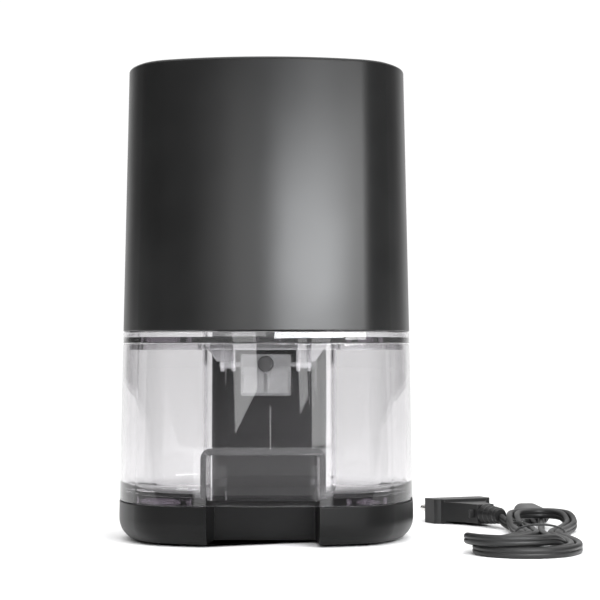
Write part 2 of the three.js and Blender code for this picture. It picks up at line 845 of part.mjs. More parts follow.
function fanStator() {
  const bottom = FAN.bottom + 2 + GAP;
  const body = rod(0, FAN.y, [bottom, bottom + 8], 12.5, 18);
  const slots = [0, 1, 2, 3].map((quarter) => {
    const geometry = new THREE.BoxGeometry(3, 7, 12);
    geometry.translate(0, 11.5, bottom + 4);
    geometry.rotateZ((quarter * Math.PI) / 2);
    geometry.translate(0, FAN.y, 0);
    return solidFrom(geometry);
  });
  return cut(body, [rod(0, FAN.y, [FAN.bottom, FAN.top], 2.2), ...slots]);
}

function fanRotor() {
  const z0 = FAN.bottom + 3.2;
  const z1 = FAN.bottom + 17.5;
  const cup = turned(
    0,
    FAN.y,
    [
      [1.8, z1 - 4],
      [14.4, z1 - 4],
      [14.4, z0],
      [16.4, z0],
      [16.4, z1 - 1],
      [15.4, z1],
      [1.8, z1],
      [1.8, z1 - 4],
    ],
    28,
  );
  const blades = Array.from({ length: 7 }, (_, index) => {
    const geometry = new THREE.BoxGeometry(16, 21, 1.4);
    geometry.rotateY(-0.62);
    geometry.translate(0, 26, (z0 + z1) / 2);
    geometry.rotateZ((index * 2 * Math.PI) / 7);
    geometry.translate(0, FAN.y, 0);
    return solidFrom(geometry);
  });
  return union([cup, ...blades]);
}

// ---------------------------------------------------------------- controls and electrics

function powerButton() {
  return turned(
    0,
    BUTTON.y,
    [
      [0, BUTTON.bottom],
      [BUTTON.flange, BUTTON.bottom],
      [BUTTON.flange, BUTTON.flangeTop],
      [BUTTON.radius, BUTTON.flangeTop],
      [BUTTON.radius, BUTTON.top - 0.8],
      [BUTTON.radius - 0.6, BUTTON.top - 0.3],
      [0, BUTTON.top],
    ],
    24,
  );
}

function tactSwitch() {
  const { half, bottom, top, plunger, plungerTop } = SWITCH;
  return union([
    box([-half, half], [BUTTON.y - half, BUTTON.y + half], [bottom, top]),
    rod(0, BUTTON.y, [top - 0.4, plungerTop], plunger),
  ]);
}

const INLET_Z = (INLET.bottom + INLET.top) / 2;

function inletSocket() {
  const block = roundedRectangle(
    [-INLET.halfWidth, INLET.halfWidth],
    [INLET.bottom, INLET.top],
    2,
  );
  const bores = bothSides((side) =>
    rodAlongY(side * INLET.pinX, [INLET.frontY - 4, INLET.rearY], INLET_Z, INLET.pin + GAP),
  );
  const mouth = stadium(0, INLET_Z, INLET.mouthHalf, INLET.mouthRadius);
  return cut(prismAlongY(block, [INLET.frontY, INLET.rearY]), [
    prismAlongY(mouth, [INLET.rearY - INLET.depth, INLET.rearY + 1], 5),
    ...bores,
  ]);
}

function inletPin(side) {
  const pinY = [INLET.frontY - 3, INLET.rearY - 2.7];
  return rodAlongY(side * INLET.pinX, pinY, INLET_Z, INLET.pin);
}

function reedSwitch() {
  return union([
    box([-9, 9], [FLOAT.y - 4, FLOAT.y + 4], [TRAY.top + GAP, TRAY.top + 1.5]),
    rodAlongX([-7, 7], FLOAT.y, TRAY.top + 2.4, 1.2, 10),
  ]);
}

// ---------------------------------------------------------------- mains lead

// Section of the flat twin cord, standing on its narrow edge.
function cordSection() {
  const shape = new THREE.Shape();
  shape.absellipse(0, 0, LEAD.cordThin / 2, LEAD.cordWide / 2, 0, 2 * Math.PI);
  return shape;
}

// A short straight stretch of cord between two plan points, at the cord's own height.
function cordStretch([u0, v0], [u1, v1]) {
  const length = Math.hypot(u1 - u0, v1 - v0);
  const geometry = new THREE.ExtrudeGeometry(cordSection(), {
    depth: length,
    bevelEnabled: false,
    curveSegments: 4,
  });
  geometry.rotateX(Math.PI / 2);
  geometry.rotateZ(Math.atan2(u0 - u1, v1 - v0) + Math.PI);
  geometry.translate(u0, v0, LEAD.cordWide / 2);
  return solidFrom(geometry);
}

// Outer shape of the hank: an upper loop, a waist where the tie sits and a wider lower loop.
function leadHank() {
  const outline = [
    [-12.6, 52],
    [-8, 69],
    [6.4, 79],
    [21, 71],
    [25.6, 56],
    [20, 34],
    [11.5, 5],
    [11.5, -5],
    [15, -54],
    [7, -85],
    [-15, -100],
    [-37, -92],
    [-44, -74],
    [-33, -40],
    [-11.5, -5],
    [-11.5, 5],
  ];
  const curve = new THREE.CatmullRomCurve3(
    outline.map(([u, v]) => new THREE.Vector3(u, v, 0)),
    true,
    "centripetal",
  );
  const shape = polygon(
    curve
      .getPoints(64)
      .slice(0, 64)
      .map((point) => [point.x, point.y]),
  );
  return prism(shape, [0, LEAD.hankHeight]);
}

function leadTie() {
  const top = LEAD.hankHeight + GAP;
  return union([
    box([-13.2, 13.2], [-3, 3], [top, top + 1.2]),
    box([-13.2, -12], [-3, 3], [0, top + 0.5]),
    box([12, 13.2], [-3, 3], [0, top + 0.5]),
  ]);
}

function leadPlug() {
  const outline = new THREE.Shape();
  outline.moveTo(-5.6, PLUG.relief - 1);
  outline.lineTo(5.6, PLUG.relief - 1);
  outline.quadraticCurveTo(7, 30, PLUG.halfFace - 4, 41);
  outline.quadraticCurveTo(PLUG.halfFace, 44, PLUG.halfFace, 48);
  outline.lineTo(PLUG.halfFace, PLUG.length);
  outline.lineTo(-PLUG.halfFace, PLUG.length);
  outline.lineTo(-PLUG.halfFace, 48);
  outline.quadraticCurveTo(-PLUG.halfFace, 44, 4 - PLUG.halfFace, 41);
  outline.quadraticCurveTo(-7, 30, -5.6, PLUG.relief - 1);
  const body = prism(outline, [0, PLUG.thickness], 5);
  const relief = new THREE.CylinderGeometry(5.2, 3.6, PLUG.relief, 12);
  relief.translate(0, PLUG.relief / 2 + GAP, PLUG.thickness / 2);
  const { x, radius, seat } = PLUG_PIN;
  const seats = bothSides((side) =>
    rodAlongY(side * x, [PLUG.length - seat, PLUG.length + 1], PLUG.thickness / 2, radius + GAP, 14),
  );
  return cut(union([body, solidFrom(relief)]), seats);
}

function plugPin(side) {
  const x = side * PLUG_PIN.x;
  const z = PLUG.thickness / 2;
  const root = PLUG.length - PLUG_PIN.seat + 0.4;
  const tip = PLUG.length + PLUG_PIN.length;
  return union([
    rodAlongY(x, [root, tip - 1.5], z, PLUG_PIN.radius, 14),
    rodAlongY(x, [tip - 2, tip], z, 1.3, 14),
  ]);
}

function leadConnector() {
  const body = prismAlongY(
    stadium(0, CONNECTOR.thickness / 2, CONNECTOR.halfWidth, CONNECTOR.thickness / 2),
    [CONNECTOR.relief, CONNECTOR.length],
    5,
  );
  const relief = new THREE.CylinderGeometry(4.2, 3.3, CONNECTOR.relief + 0.5, 12);
  relief.translate(0, CONNECTOR.relief / 2 + 0.25 + GAP, CONNECTOR.thickness / 2);
  const depth = [CONNECTOR.length - 12, CONNECTOR.length + 1];
  const mouths = bothSides((side) =>
    rodAlongY(side * INLET.pinX, depth, CONNECTOR.thickness / 2, CONNECTOR.mouth),
  );
  return cut(union([body, solidFrom(relief)]), mouths);
}

// ---------------------------------------------------------------- assembly

function add(group, name, solid, look) {
  const mesh = new THREE.Mesh(geometryFrom(solid), look);
  mesh.name = name;
  group.add(mesh);
}

function buildBase(group) {
  add(group, "base", base(), MATERIALS.darkPlastic);
  add(group, "base_plate", basePlate(), MATERIALS.darkPlastic);
  for (const [corner, x, y] of fourCorners(FEET.x, FEET.y)) {
    add(group, `foot_${corner}`, foot(x, y), MATERIALS.rubber);
  }
  for (const [corner, x, y] of fourCorners(BASE_SCREW.x, BASE_SCREW.y)) {
    const screw = screwUp(x, y, PLATE.bottom - GAP, 11, 3, 1.3);
    add(group, `base_screw_${corner}`, screw, MATERIALS.steel);
  }
  add(group, "rear_column", rearColumn(), MATERIALS.darkPlastic);
  const underDeck = BASE.top - BASE.deck - GAP;
  for (const [name, side] of SIDES) {
    const screw = screwUp(side * COLUMN.screwX, COLUMN.screwY, underDeck, 11, 3, 1.4);
    add(group, `column_screw_${name}`, screw, MATERIALS.steel);
  }
}

function buildHousing(group) {
  add(group, "outer_shell", outerShell(), MATERIALS.satinBlack);
  add(group, "top_cover", topCover(), MATERIALS.satinBlack);
  add(group, "rear_grille", rearGrille(), MATERIALS.darkPlastic);
  add(group, "inner_tray", tray(), MATERIALS.darkPlastic);
  add(group, "drip_funnel", dripFunnel(), MATERIALS.darkPlastic);
  for (const [name, side] of SIDES) {
    add(group, `rear_screw_${name}`, rearScrew(side), MATERIALS.steel);
  }
}

function buildCooler(group) {
  add(group, "cold_heatsink", coldHeatsink(), MATERIALS.aluminium);
  add(group, "insulation_frame", insulationFrame(), MATERIALS.foam);
  add(group, "peltier_module", peltierModule(), MATERIALS.ceramic);
  add(group, "hot_heatsink", hotHeatsink(), MATERIALS.aluminium);
  for (const [name, side] of SIDES) {
    add(group, `clamp_screw_${name}`, clampScrew(side), MATERIALS.steel);
  }
}

function buildFan(group) {
  add(group, "fan_frame", fanFrame(), MATERIALS.darkPlastic);
  add(group, "fan_stator", fanStator(), MATERIALS.transformer);
  add(group, "fan_rotor", fanRotor(), MATERIALS.darkPlastic);
  const shaft = rod(0, FAN.y, [FAN.bottom + 0.4, FAN.top - 3.2], 1.5);
  add(group, "fan_shaft", shaft, MATERIALS.steel);
  for (const [corner, x, y] of fourCorners(FAN.hole, FAN.hole)) {
    const screw = screwUp(x, FAN.y + y, FAN.bottom - GAP, 25, 2.8, 1.4);
    add(group, `fan_screw_${corner}`, screw, MATERIALS.steel);
  }
}

function buildElectrics(group) {
  add(group, "power_button", powerButton(), MATERIALS.satinBlack);
  add(group, "tact_switch", tactSwitch(), MATERIALS.steel);
  const lens = stadium(LAMP.x, BUTTON.y, LAMP.halfLength, LAMP.radius);
  add(group, "lamp_lens", prism(lens, [LAMP.bottom, LAMP.top], 3), MATERIALS.lens);
  const control = box(CONTROL_BOARD.x, CONTROL_BOARD.y, CONTROL_BOARD.z);
  add(group, "control_board", control, MATERIALS.board);
  const power = box(POWER_BOARD.x, POWER_BOARD.y, POWER_BOARD.z);
  add(group, "power_board", power, MATERIALS.board);
  const transformer = box(TRANSFORMER.x, TRANSFORMER.y, TRANSFORMER.z);
  add(group, "transformer", transformer, MATERIALS.transformer);
  const capacitor = rodAlongX(CAPACITOR.x, CAPACITOR.y, CAPACITOR.z, CAPACITOR.radius);
  add(group, "capacitor", capacitor, MATERIALS.capacitor);
  add(group, "inlet_socket", inletSocket(), MATERIALS.darkPlastic);
  for (const [name, side] of SIDES) {
    add(group, `inlet_pin_${name}`, inletPin(side), MATERIALS.brass);
  }
  add(group, "reed_switch", reedSwitch(), MATERIALS.board);
}

function buildTank(group) {
  add(group, "tank", tank(), MATERIALS.clear);
  add(group, "tank_lid", tankLid(), MATERIALS.clear);
  add(group, "float", float(), MATERIALS.floatPlastic);
  add(group, "float_magnet", floatMagnet(), MATERIALS.magnet);
}

function placed([u, v], degrees) {
  const group = new THREE.Group();
  group.position.set(u, v, 0);
  group.rotation.z = THREE.MathUtils.degToRad(degrees);
  return group;
}

function buildLead(group) {
  add(group, "lead_hank", leadHank(), MATERIALS.cordBlack);
  add(group, "lead_tie", leadTie(), MATERIALS.cordBlack);

  const plug = placed(LEAD.plugExit, LEAD.plugTurn);
  add(plug, "lead_plug", leadPlug(), MATERIALS.cordBlack);
  for (const [name, side] of SIDES) {
    add(plug, `plug_pin_${name}`, plugPin(side), MATERIALS.steel);
  }
  group.add(plug);

  const connector = placed(LEAD.connectorExit, LEAD.connectorTurn);
  add(connector, "lead_connector", leadConnector(), MATERIALS.cordBlack);
  group.add(connector);

  const start = cordStretch(LEAD.connectorExit, LEAD.connectorEnd);
  add(group, "lead_cord_start", start, MATERIALS.cordBlack);
  add(group, "lead_cord_end", cordStretch(LEAD.plugEnd, LEAD.plugExit), MATERIALS.cordBlack);
}

const unit = new THREE.Group();
buildBase(unit);
buildHousing(unit);
buildCooler(unit);
buildFan(unit);
buildElectrics(unit);
buildTank(unit);

const lead = new THREE.Group();
lead.position.set(LEAD.origin[0], LEAD.origin[1], 0);
buildLead(lead);

const dehumidifier = new THREE.Group();
dehumidifier.add(unit, lead);

export default dehumidifier;
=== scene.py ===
"""Desktop Peltier dehumidifier: a black upper housing over a clear slide-out tank, on a black base.

Shapes are built in millimetres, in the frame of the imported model, and scaled to metres when they are done.
"""

from math import atan2, cos, pi, radians, sin, sqrt

import bmesh
import bpy
from mathutils import Matrix, Vector


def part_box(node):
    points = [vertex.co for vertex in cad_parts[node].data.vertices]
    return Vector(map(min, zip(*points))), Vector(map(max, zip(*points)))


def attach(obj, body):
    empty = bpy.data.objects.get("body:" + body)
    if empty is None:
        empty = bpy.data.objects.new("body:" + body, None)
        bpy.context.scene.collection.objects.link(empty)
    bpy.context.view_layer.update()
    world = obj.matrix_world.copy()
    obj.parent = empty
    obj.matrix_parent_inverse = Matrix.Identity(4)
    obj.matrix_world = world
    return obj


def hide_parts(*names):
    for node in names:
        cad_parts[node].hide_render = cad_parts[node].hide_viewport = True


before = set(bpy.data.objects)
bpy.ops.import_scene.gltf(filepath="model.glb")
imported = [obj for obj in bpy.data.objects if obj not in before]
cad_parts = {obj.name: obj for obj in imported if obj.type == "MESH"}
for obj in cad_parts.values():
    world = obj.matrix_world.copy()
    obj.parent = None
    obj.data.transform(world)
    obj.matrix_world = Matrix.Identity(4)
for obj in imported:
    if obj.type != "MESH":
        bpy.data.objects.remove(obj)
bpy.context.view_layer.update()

MM = 0.001
SIDES = (("left", -1), ("right", 1))
CORNERS = (
    ("front_left", -1, -1),
    ("front_right", 1, -1),
    ("rear_left", -1, 1),
    ("rear_right", 1, 1),
)


def box_mm(node):
    """Lowest and highest corner of a CAD node, in millimetres."""
    low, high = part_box(node)
    return Vector(low) / MM, Vector(high) / MM


# ---- sizes, in millimetres

SHELL_LOW, SHELL_HIGH = box_mm("outer_shell")
TANK_LOW, TANK_HIGH = box_mm("tank")
BASE_LOW, BASE_HIGH = box_mm("base")
COLUMN_LOW, COLUMN_HIGH = box_mm("rear_column")
FLOAT_LOW, FLOAT_HIGH = box_mm("float")
COVER_HIGH = box_mm("top_cover")[1]
FAN_LOW, FAN_HIGH = box_mm("fan_frame")

WALL = 2.5
GAP = 0.3
EDGE = 0.5  # radius of an outer edge
FINE_EDGE = 0.4
TOTAL = SHELL_HIGH.z
DRAFT = 0.02136  # how much the plan grows for each millimetre further down

# The plan outline is eight tangent arcs.
FRONT_RADIUS = 114.0
SIDE_RADIUS = 79.0
CORNER_RADIUS = 28.6
HALF_WIDTH = 70.7
HALF_DEPTH = 61.0

# Base and column
RECESS_FRONT_HALF = 28.4
RECESS_BACK_HALF = 25.4
RECESS_END = -31.0
BASE_SCREW_X = 56.0
BASE_SCREW_Y = 14.0
COLUMN_SCREW_X = 16.0
COLUMN_SCREW_Y = 55.5
COLUMN_RADIUS = 10.0
FOOT_X = 46.0
FOOT_Y = 36.0

# Tank, lid and float
NOTCH_HALF = 34.0
NOTCH_RADIUS = 12.0
NOTCH_FRONT = 43.9
POCKET_HALF = 28.5
POCKET_TOP = 45.4
POCKET_MOUTH = -70.0
POCKET_BACK = -45.6
POCKET_WALL = 3.0
POCKET_TAPER = 0.0033
POCKET_RADIUS = 2.0
TANK_FLOOR = 3.0
TANK_FILLET = 7.0
LID_SKIRT = 96.5
LID_PLATE = 99.9
LID_STEP = 102.8
LID_TOP = 105.5
LID_CLEARANCE = 0.7
SKIRT_WALL = 2.2
DRIP_HOLE_Y = 24.0
DRIP_HOLE_RADIUS = 6.0
FLOAT_Y = -10.0
FLOAT_Z = 89.0
FLOAT_HALF = 12.65
FLOAT_DEPTH = 20.0
FLOAT_PIN = 1.3
FLOAT_WALL = 1.3
MAGNET_Z = 89.4

# Upper housing
LEDGE_LOW = 232.0
LEDGE_TOP = 235.0
LEDGE = 3.4
SHELL_RIM = 1.4
WINDOW_HALF = 42.0
WINDOW_LOW = 134.0
WINDOW_TOP = 204.0
WINDOW_RADIUS = 5.0
REAR_SCREW_X = 30.0
REAR_SCREW_Z = 113.5
COVER_LOW = LEDGE_TOP + GAP
OUTLET_COUNT = 10
OUTLET_PITCH = 7.0
OUTLET_RADIUS = 35.5
OUTLET_Y = 6.0
OUTLET_SLOT = 1.8
BUTTON_Y = -44.0
BUTTON_HOLE = 6.6
LAMP_X = 17.0
LENS_HALF = 4.0
LENS_ROUND = 1.5
LOUVRE_COUNT = 9
LOUVRE_PITCH = 6.75
LOUVRE_LOWEST = 142.0
CONTACT_X = 4.3  # of the appliance inlet and of the lead's connector

# Fan
FAN_Y = (FAN_LOW.y + FAN_HIGH.y) / 2
FAN_SCREW = 35.75  # from the fan's axis, along X and Y
FAN_DUCT = 38.5
FAN_MOUTH = 39.4
HUB_RADIUS = 16.4
HUB_LOW = 213.2
HUB_TOP = 227.5
BLADES = 7
BLADE_ROOT = 15.6
BLADE_SPAN = 20.9
BLADE_Z = 220.4
BLADE_THICK = 1.3

# Cutters run past what they cut.
BELOW, ABOVE = 10, 120
OUT_FRONT, OUT_BACK = -72, 95
REAR_FROM, REAR_TO = 50, 70  # through the shell's back wall


def draft(z):
    return (TOTAL - z) * DRAFT


# ---- mesh building


def new_object(name, vertices, faces):
    mesh = bpy.data.meshes.new(name)
    mesh.from_pydata([tuple(v) for v in vertices], [], faces)
    mesh.update()
    made = bpy.data.objects.new(name, mesh)
    bpy.context.scene.collection.objects.link(made)
    return made


def bake(made):
    """Replaces the object's mesh by what its modifiers make of it."""
    graph = bpy.context.evaluated_depsgraph_get()
    mesh = bpy.data.meshes.new_from_object(made.evaluated_get(graph))
    made.modifiers.clear()
    made.data = mesh
    return made


def merged(pieces):
    """One object that holds the meshes of the pieces, which are deleted."""
    cage = bmesh.new()
    for piece in pieces:
        piece.data.transform(piece.matrix_basis)
        cage.from_mesh(piece.data)
        bpy.data.objects.remove(piece)
    made = new_object("merged", [], [])
    cage.to_mesh(made.data)
    cage.free()
    return made


def boolean(target, tools, operation):
    for tool in tools:
        modifier = target.modifiers.new(operation, "BOOLEAN")
        modifier.operation = operation
        modifier.solver = "EXACT"
        modifier.object = tool
        bake(target)
        bpy.data.objects.remove(tool)
    return target


def cut(target, *tools):
    return boolean(target, tools, "DIFFERENCE")


def join(target, *tools):
    return boolean(target, tools, "UNION")


def common(target, *tools):
    return boolean(target, tools, "INTERSECT")


def bevelled(made, width, segments=2, angle=40):
    """Rounds every edge sharper than the angle."""
    modifier = made.modifiers.new("bevel", "BEVEL")
    modifier.width = width
    modifier.segments = segments
    modifier.limit_method = "ANGLE"
    modifier.angle_limit = radians(angle)
    modifier.use_clamp_overlap = True
    modifier.miter_outer = "MITER_ARC"
    return bake(made)


def prism(points, z0, z1):
    """A plan outline, anticlockwise, pushed up from z0 to z1."""
    count = len(points)
    vertices = [(x, y, z0) for x, y in points] + [(x, y, z1) for x, y in points]
    faces = [tuple(reversed(range(count))), tuple(range(count, 2 * count))]
    for i in range(count):
        j = (i + 1) % count
        faces.append((i, j, j + count, i + count))
    return new_object("prism", vertices, faces)


def prism_y(points, y0, y1):
    """An outline in X and Z, pushed through from y0 to y1."""
    made = prism(points, -y1, -y0)
    made.data.transform(Matrix.Rotation(pi / 2, 4, "X"))
    return made


def prism_x(points, x0, x1):
    """An outline in Y and Z, pushed through from x0 to x1."""
    made = prism(points, x0, x1)
    turn = Matrix(((0, 0, 1, 0), (1, 0, 0, 0), (0, 1, 0, 0), (0, 0, 0, 1)))
    made.data.transform(turn)
    return made


def block(x0, x1, y0, y1, z0, z1):
    return prism([(x0, y0), (x1, y0), (x1, y1), (x0, y1)], z0, z1)


def rounded(a0, a1, b0, b1, radius, steps=6):
    """A rectangle with round corners, anticlockwise."""
    points = []
    centres = ((a1, b1, 0), (a0, b1, 1), (a0, b0, 2), (a1, b0, 3))
    for a, b, quarter in centres:
        a += radius if a == a0 else -radius
        b += radius if b == b0 else -radius
        for step in range(steps + 1):
            angle = (quarter + step / steps) * pi / 2
            points.append((a + radius * cos(angle), b + radius * sin(angle)))
    return points


def stadium(a, b, half, radius, steps=6):
    """A slot with round ends about (a, b), whose ends are a hair short of a half circle."""
    return rounded(a - half, a + half, b - radius, b + radius, radius * 0.998, steps)


def lathe(profile, steps=32):
    """Turns [radius, height] points, from the axis round to the axis, about Z."""
    vertices, faces, rings = [], [], []
    for radius, z in profile:
        if radius == 0:
            rings.append([len(vertices)])
            vertices.append((0, 0, z))
        else:
            rings.append(list(range(len(vertices), len(vertices) + steps)))
            angles = [2 * pi * step / steps for step in range(steps)]
            vertices += [(radius * cos(a), radius * sin(a), z) for a in angles]
    if len(rings[0]) > 1:
        rings.append(rings[0])
    for low, high in zip(rings, rings[1:]):
        for i in range(steps):
            j = (i + 1) % steps
            face = [low[i % len(low)], low[j % len(low)], high[j % len(high)], high[i % len(high)]]
            faces.append(tuple(dict.fromkeys(face)))
    return new_object("turned", vertices, faces)


def moved(made, x, y=0.0, z=0.0, turn=None, axis="Z"):
    """Turns the mesh about an axis through the origin, then shifts it."""
    if turn is not None:
        made.data.transform(Matrix.Rotation(turn, 4, axis))
    made.data.transform(Matrix.Translation((x, y, z)))
    return made


def rod(x, y, z0, z1, radius, steps=24):
    return moved(lathe([(0, z0), (radius, z0), (radius, z1), (0, z1)], steps), x, y)


def rod_x(x0, x1, y, z, radius):
    made = lathe([(0, x0), (radius, x0), (radius, x1), (0, x1)], 24)
    return moved(made, 0, y, z, pi / 2, "Y")


def rod_y(x, y0, y1, z, radius, steps=24):
    made = lathe([(0, -y1), (radius, -y1), (radius, -y0), (0, -y0)], steps)
    return moved(made, x, 0, z, pi / 2, "X")


# ---- plan outline


def corner_centre():
    """Centre of the back right corner arc, which touches the back arc and the side arc."""
    back = Vector((0, HALF_DEPTH - FRONT_RADIUS))
    side = Vector((HALF_WIDTH - SIDE_RADIUS, 0))
    from_back = FRONT_RADIUS - CORNER_RADIUS
    from_side = SIDE_RADIUS - CORNER_RADIUS
    line = side - back
    apart = line.length
    line.normalize()
    along = (from_back**2 - from_side**2 + apart**2) / (2 * apart)
    across = sqrt(from_back**2 - along**2)
    return back + line * along + Vector((line.y, -line.x)) * across


def outline_arcs():
    """Arcs (centre x, centre y, radius, start, end, steps), anticlockwise."""
    corner = corner_centre()
    side_x = HALF_WIDTH - SIDE_RADIUS
    back_y = HALF_DEPTH - FRONT_RADIUS
    side = atan2(corner.y, corner.x - side_x)
    back = atan2(corner.y - back_y, corner.x)
    half = [
        (side_x, 0, SIDE_RADIUS, -side, side, 16),
        (corner.x, corner.y, CORNER_RADIUS, side, back, 14),
        (0, back_y, FRONT_RADIUS, back, pi - back, 24),
        (-corner.x, corner.y, CORNER_RADIUS, pi - back, pi - side, 14),
    ]
    return half + [(-x, -y, r, a + pi, b + pi, n) for x, y, r, a, b, n in half]


ARCS = outline_arcs()


def outline(offset):
    points = []
    for x, y, radius, start, end, steps in ARCS:
        for step in range(steps):
            angle = start + (end - start) * step / steps
            reach = radius + offset
            points.append((x + reach * cos(angle), y + reach * sin(angle)))
    return points


def loft(levels, closed=False):
    """The outline grown by an offset at each (z, offset) level. Closed levels make a ring-shaped wall."""
    vertices, faces = [], []
    for z, offset in levels:
        vertices += [(x, y, z) for x, y in outline(offset)]
    count = len(vertices) // len(levels)
    last = len(vertices) - count
    for start in range(0, last + (count if closed else 0), count):
        above = (start + count) % len(vertices)
        for i in range(count):
            j = (i + 1) % count
            faces.append((start + i, start + j, above + j, above + i))
    if not closed:
        faces.append(tuple(reversed(range(count))))
        faces.append(tuple(range(last, last + count)))
    return new_object("loft", vertices, faces)


def drafted(z0, z1, inset=0.0):
    return loft([(z0, draft(z0) - inset), (z1, draft(z1) - inset)])


def arc(z, offset, radius, start, end, steps):
    """Levels along an arc of the wall's section; 0 degrees is outward and 90 is up."""
    angles = [radians(start + (end - start) * i / steps) for i in range(steps + 1)]
    return [(z + radius * sin(a), offset + radius * cos(a)) for a in angles]


# ---- materials


def add_node(tree, kind, **inputs):
    """A new shader node. Each named input takes a value, or a link from another node's output."""
    node = tree.nodes.new(kind)
    for name, value in inputs.items():
        socket = node.inputs[name.replace("_", " ")]
        if isinstance(value, bpy.types.NodeSocket):
            tree.links.new(value, socket)
        else:
            socket.default_value = value
    return node


class Look:
    """A node material on the principled shader, with object coordinates in metres."""

    def __init__(self, name):
        self.material = bpy.data.materials.new(name)
        self.material.use_nodes = True
        self.tree = self.material.node_tree
        self.links = self.tree.links
        self.shader = self.tree.nodes["Principled BSDF"]
        self.output = self.tree.nodes["Material Output"]
        self.place = self.add("ShaderNodeTexCoord").outputs["Object"]

    def add(self, kind, **inputs):
        return add_node(self.tree, kind, **inputs)

    def set(self, **values):
        for socket, value in values.items():
            self.shader.inputs[socket.replace("_", " ")].default_value = value
        return self

    def stretched(self, x, y, z):
        return self.add("ShaderNodeMapping", Scale=(x, y, z), Vector=self.place).outputs["Vector"]

    def noise(self, scale, detail=3.0, where=None):
        node = self.add("ShaderNodeTexNoise", Scale=scale, Detail=detail, Vector=where or self.place)
        return node.outputs["Fac"]

    def cells(self, scale):
        return self.add("ShaderNodeTexVoronoi", Scale=scale, Vector=self.place).outputs["Distance"]

    def bands(self, scale, distortion):
        node = self.add("ShaderNodeTexWave", Scale=scale, Distortion=distortion, Vector=self.place)
        node.bands_direction = "Z"
        return node.outputs["Fac"]

    def spread(self, value, low, high, from_low=0.3, from_high=0.7):
        ends = {"From_Min": from_low, "From_Max": from_high, "To_Min": low, "To_Max": high}
        return self.add("ShaderNodeMapRange", Value=value, **ends).outputs["Result"]

    def axes(self):
        split = self.add("ShaderNodeSeparateXYZ", Vector=self.place)
        return split.outputs["X"], split.outputs["Y"], split.outputs["Z"]

    def math(self, operation, *values):
        node = self.add("ShaderNodeMath")
        node.operation = operation
        for value, socket in zip(values, node.inputs):
            self.links.new(value, socket)
        return node.outputs["Value"]

    def colour(self, value, dark, light, low=0.3, high=0.7):
        """Base colour from dark to light as the value goes from low to high."""
        ramp = self.add("ShaderNodeValToRGB", Fac=value)
        for stop, place, colour in zip(ramp.color_ramp.elements, (low, high), (dark, light)):
            stop.position = place
            stop.color = (*colour, 1)
        self.links.new(ramp.outputs["Color"], self.shader.inputs["Base Color"])
        return self

    def rough(self, value, low, high):
        self.links.new(self.spread(value, low, high), self.shader.inputs["Roughness"])
        return self

    def bump(self, value, depth_mm):
        """Adds a bump on top of those already there."""
        node = self.add("ShaderNodeBump", Strength=1.0, Distance=depth_mm * MM, Height=value)
        normal = self.shader.inputs["Normal"]
        if normal.links:
            self.links.new(normal.links[0].from_socket, node.inputs["Normal"])
        self.links.new(node.outputs["Normal"], normal)
        return self

    def lets_lamps_through(self):
        """Shadow rays pass, so that what stands behind or inside the clear piece is lit."""
        path = self.add("ShaderNodeLightPath")
        mix = self.add("ShaderNodeMixShader", Fac=path.outputs["Is Shadow Ray"])
        self.links.new(self.shader.outputs["BSDF"], mix.inputs[1])
        self.links.new(self.add("ShaderNodeBsdfTransparent").outputs["BSDF"], mix.inputs[2])
        self.links.new(mix.outputs["Shader"], self.output.inputs["Surface"])
        return self


DENSITY = 40.0  # of the absorbing volumes, per metre
ABSORBED = (20.0, 21.6, 19.6)  # of red, green and blue, per metre
TANK_TINT = (0.88, 0.877, 0.882)
TANK_HAZE = 0.0035
# The lid's milky share is slight haze and, beyond the tank's, painted light standing in for the light on the
# lid's bands.
LID_HAZE_AND_PAINTED_LIGHT = 0.035
# Painted highlight: a milky white share on the front edges of the finger pocket, standing in for the bright
# lines along them.
POCKET_PAINTED_HIGHLIGHT = 0.06
# Painted light: a milky share on the float brackets, standing in for the light they catch.
BRACKET_PAINTED_LIGHT = 0.2


def grey(value):
    return (value, value, value)


def moulded(name, dark, light, rough, grain_mm, grain_scale=2600, shine=0.5):
    """Injection-moulded plastic: a fine spark-eroded grain under slow shifts of tone and gloss."""
    look = Look(name).set(IOR=1.5, Specular_IOR_Level=shine)
    slow = look.noise(28, 2)
    look.colour(slow, dark, light)
    look.rough(slow, *rough)
    look.bump(look.noise(grain_scale, 2), grain_mm)
    return look.material


def patterned(look, pattern, dark, light, rough, depth_mm, low=0.3, high=0.7):
    """Colour, roughness and relief that all follow one pattern."""
    look.colour(pattern, dark, light, low, high)
    look.rough(pattern, *rough)
    look.bump(pattern, depth_mm)
    return look.material


def metal(name, dark, light, rough, scratch=(900, 900, 60)):
    look = Look(name).set(Metallic=1.0)
    streaks = look.noise(1.0, 4, look.stretched(*scratch))
    return patterned(look, streaks, dark, light, rough, 0.006)


def clear_plastic(name, tint, rough, haze):
    """Polished acrylic with the faint flow ripple of a moulding. It darkens along a long path inside."""
    look = Look(name).set(Transmission_Weight=1 - haze, IOR=1.49)
    flow = look.noise(22, 2)
    look.colour(flow, tuple(0.985 * c for c in tint), tint)
    look.rough(flow, *rough)
    look.bump(look.noise(9, 1), 0.02)
    colour = (*[1 - share / DENSITY for share in ABSORBED], 1)
    inside = look.add("ShaderNodeVolumeAbsorption", Density=DENSITY, Color=colour)
    look.links.new(inside.outputs["Volume"], look.output.inputs["Volume"])
    return look.lets_lamps_through()


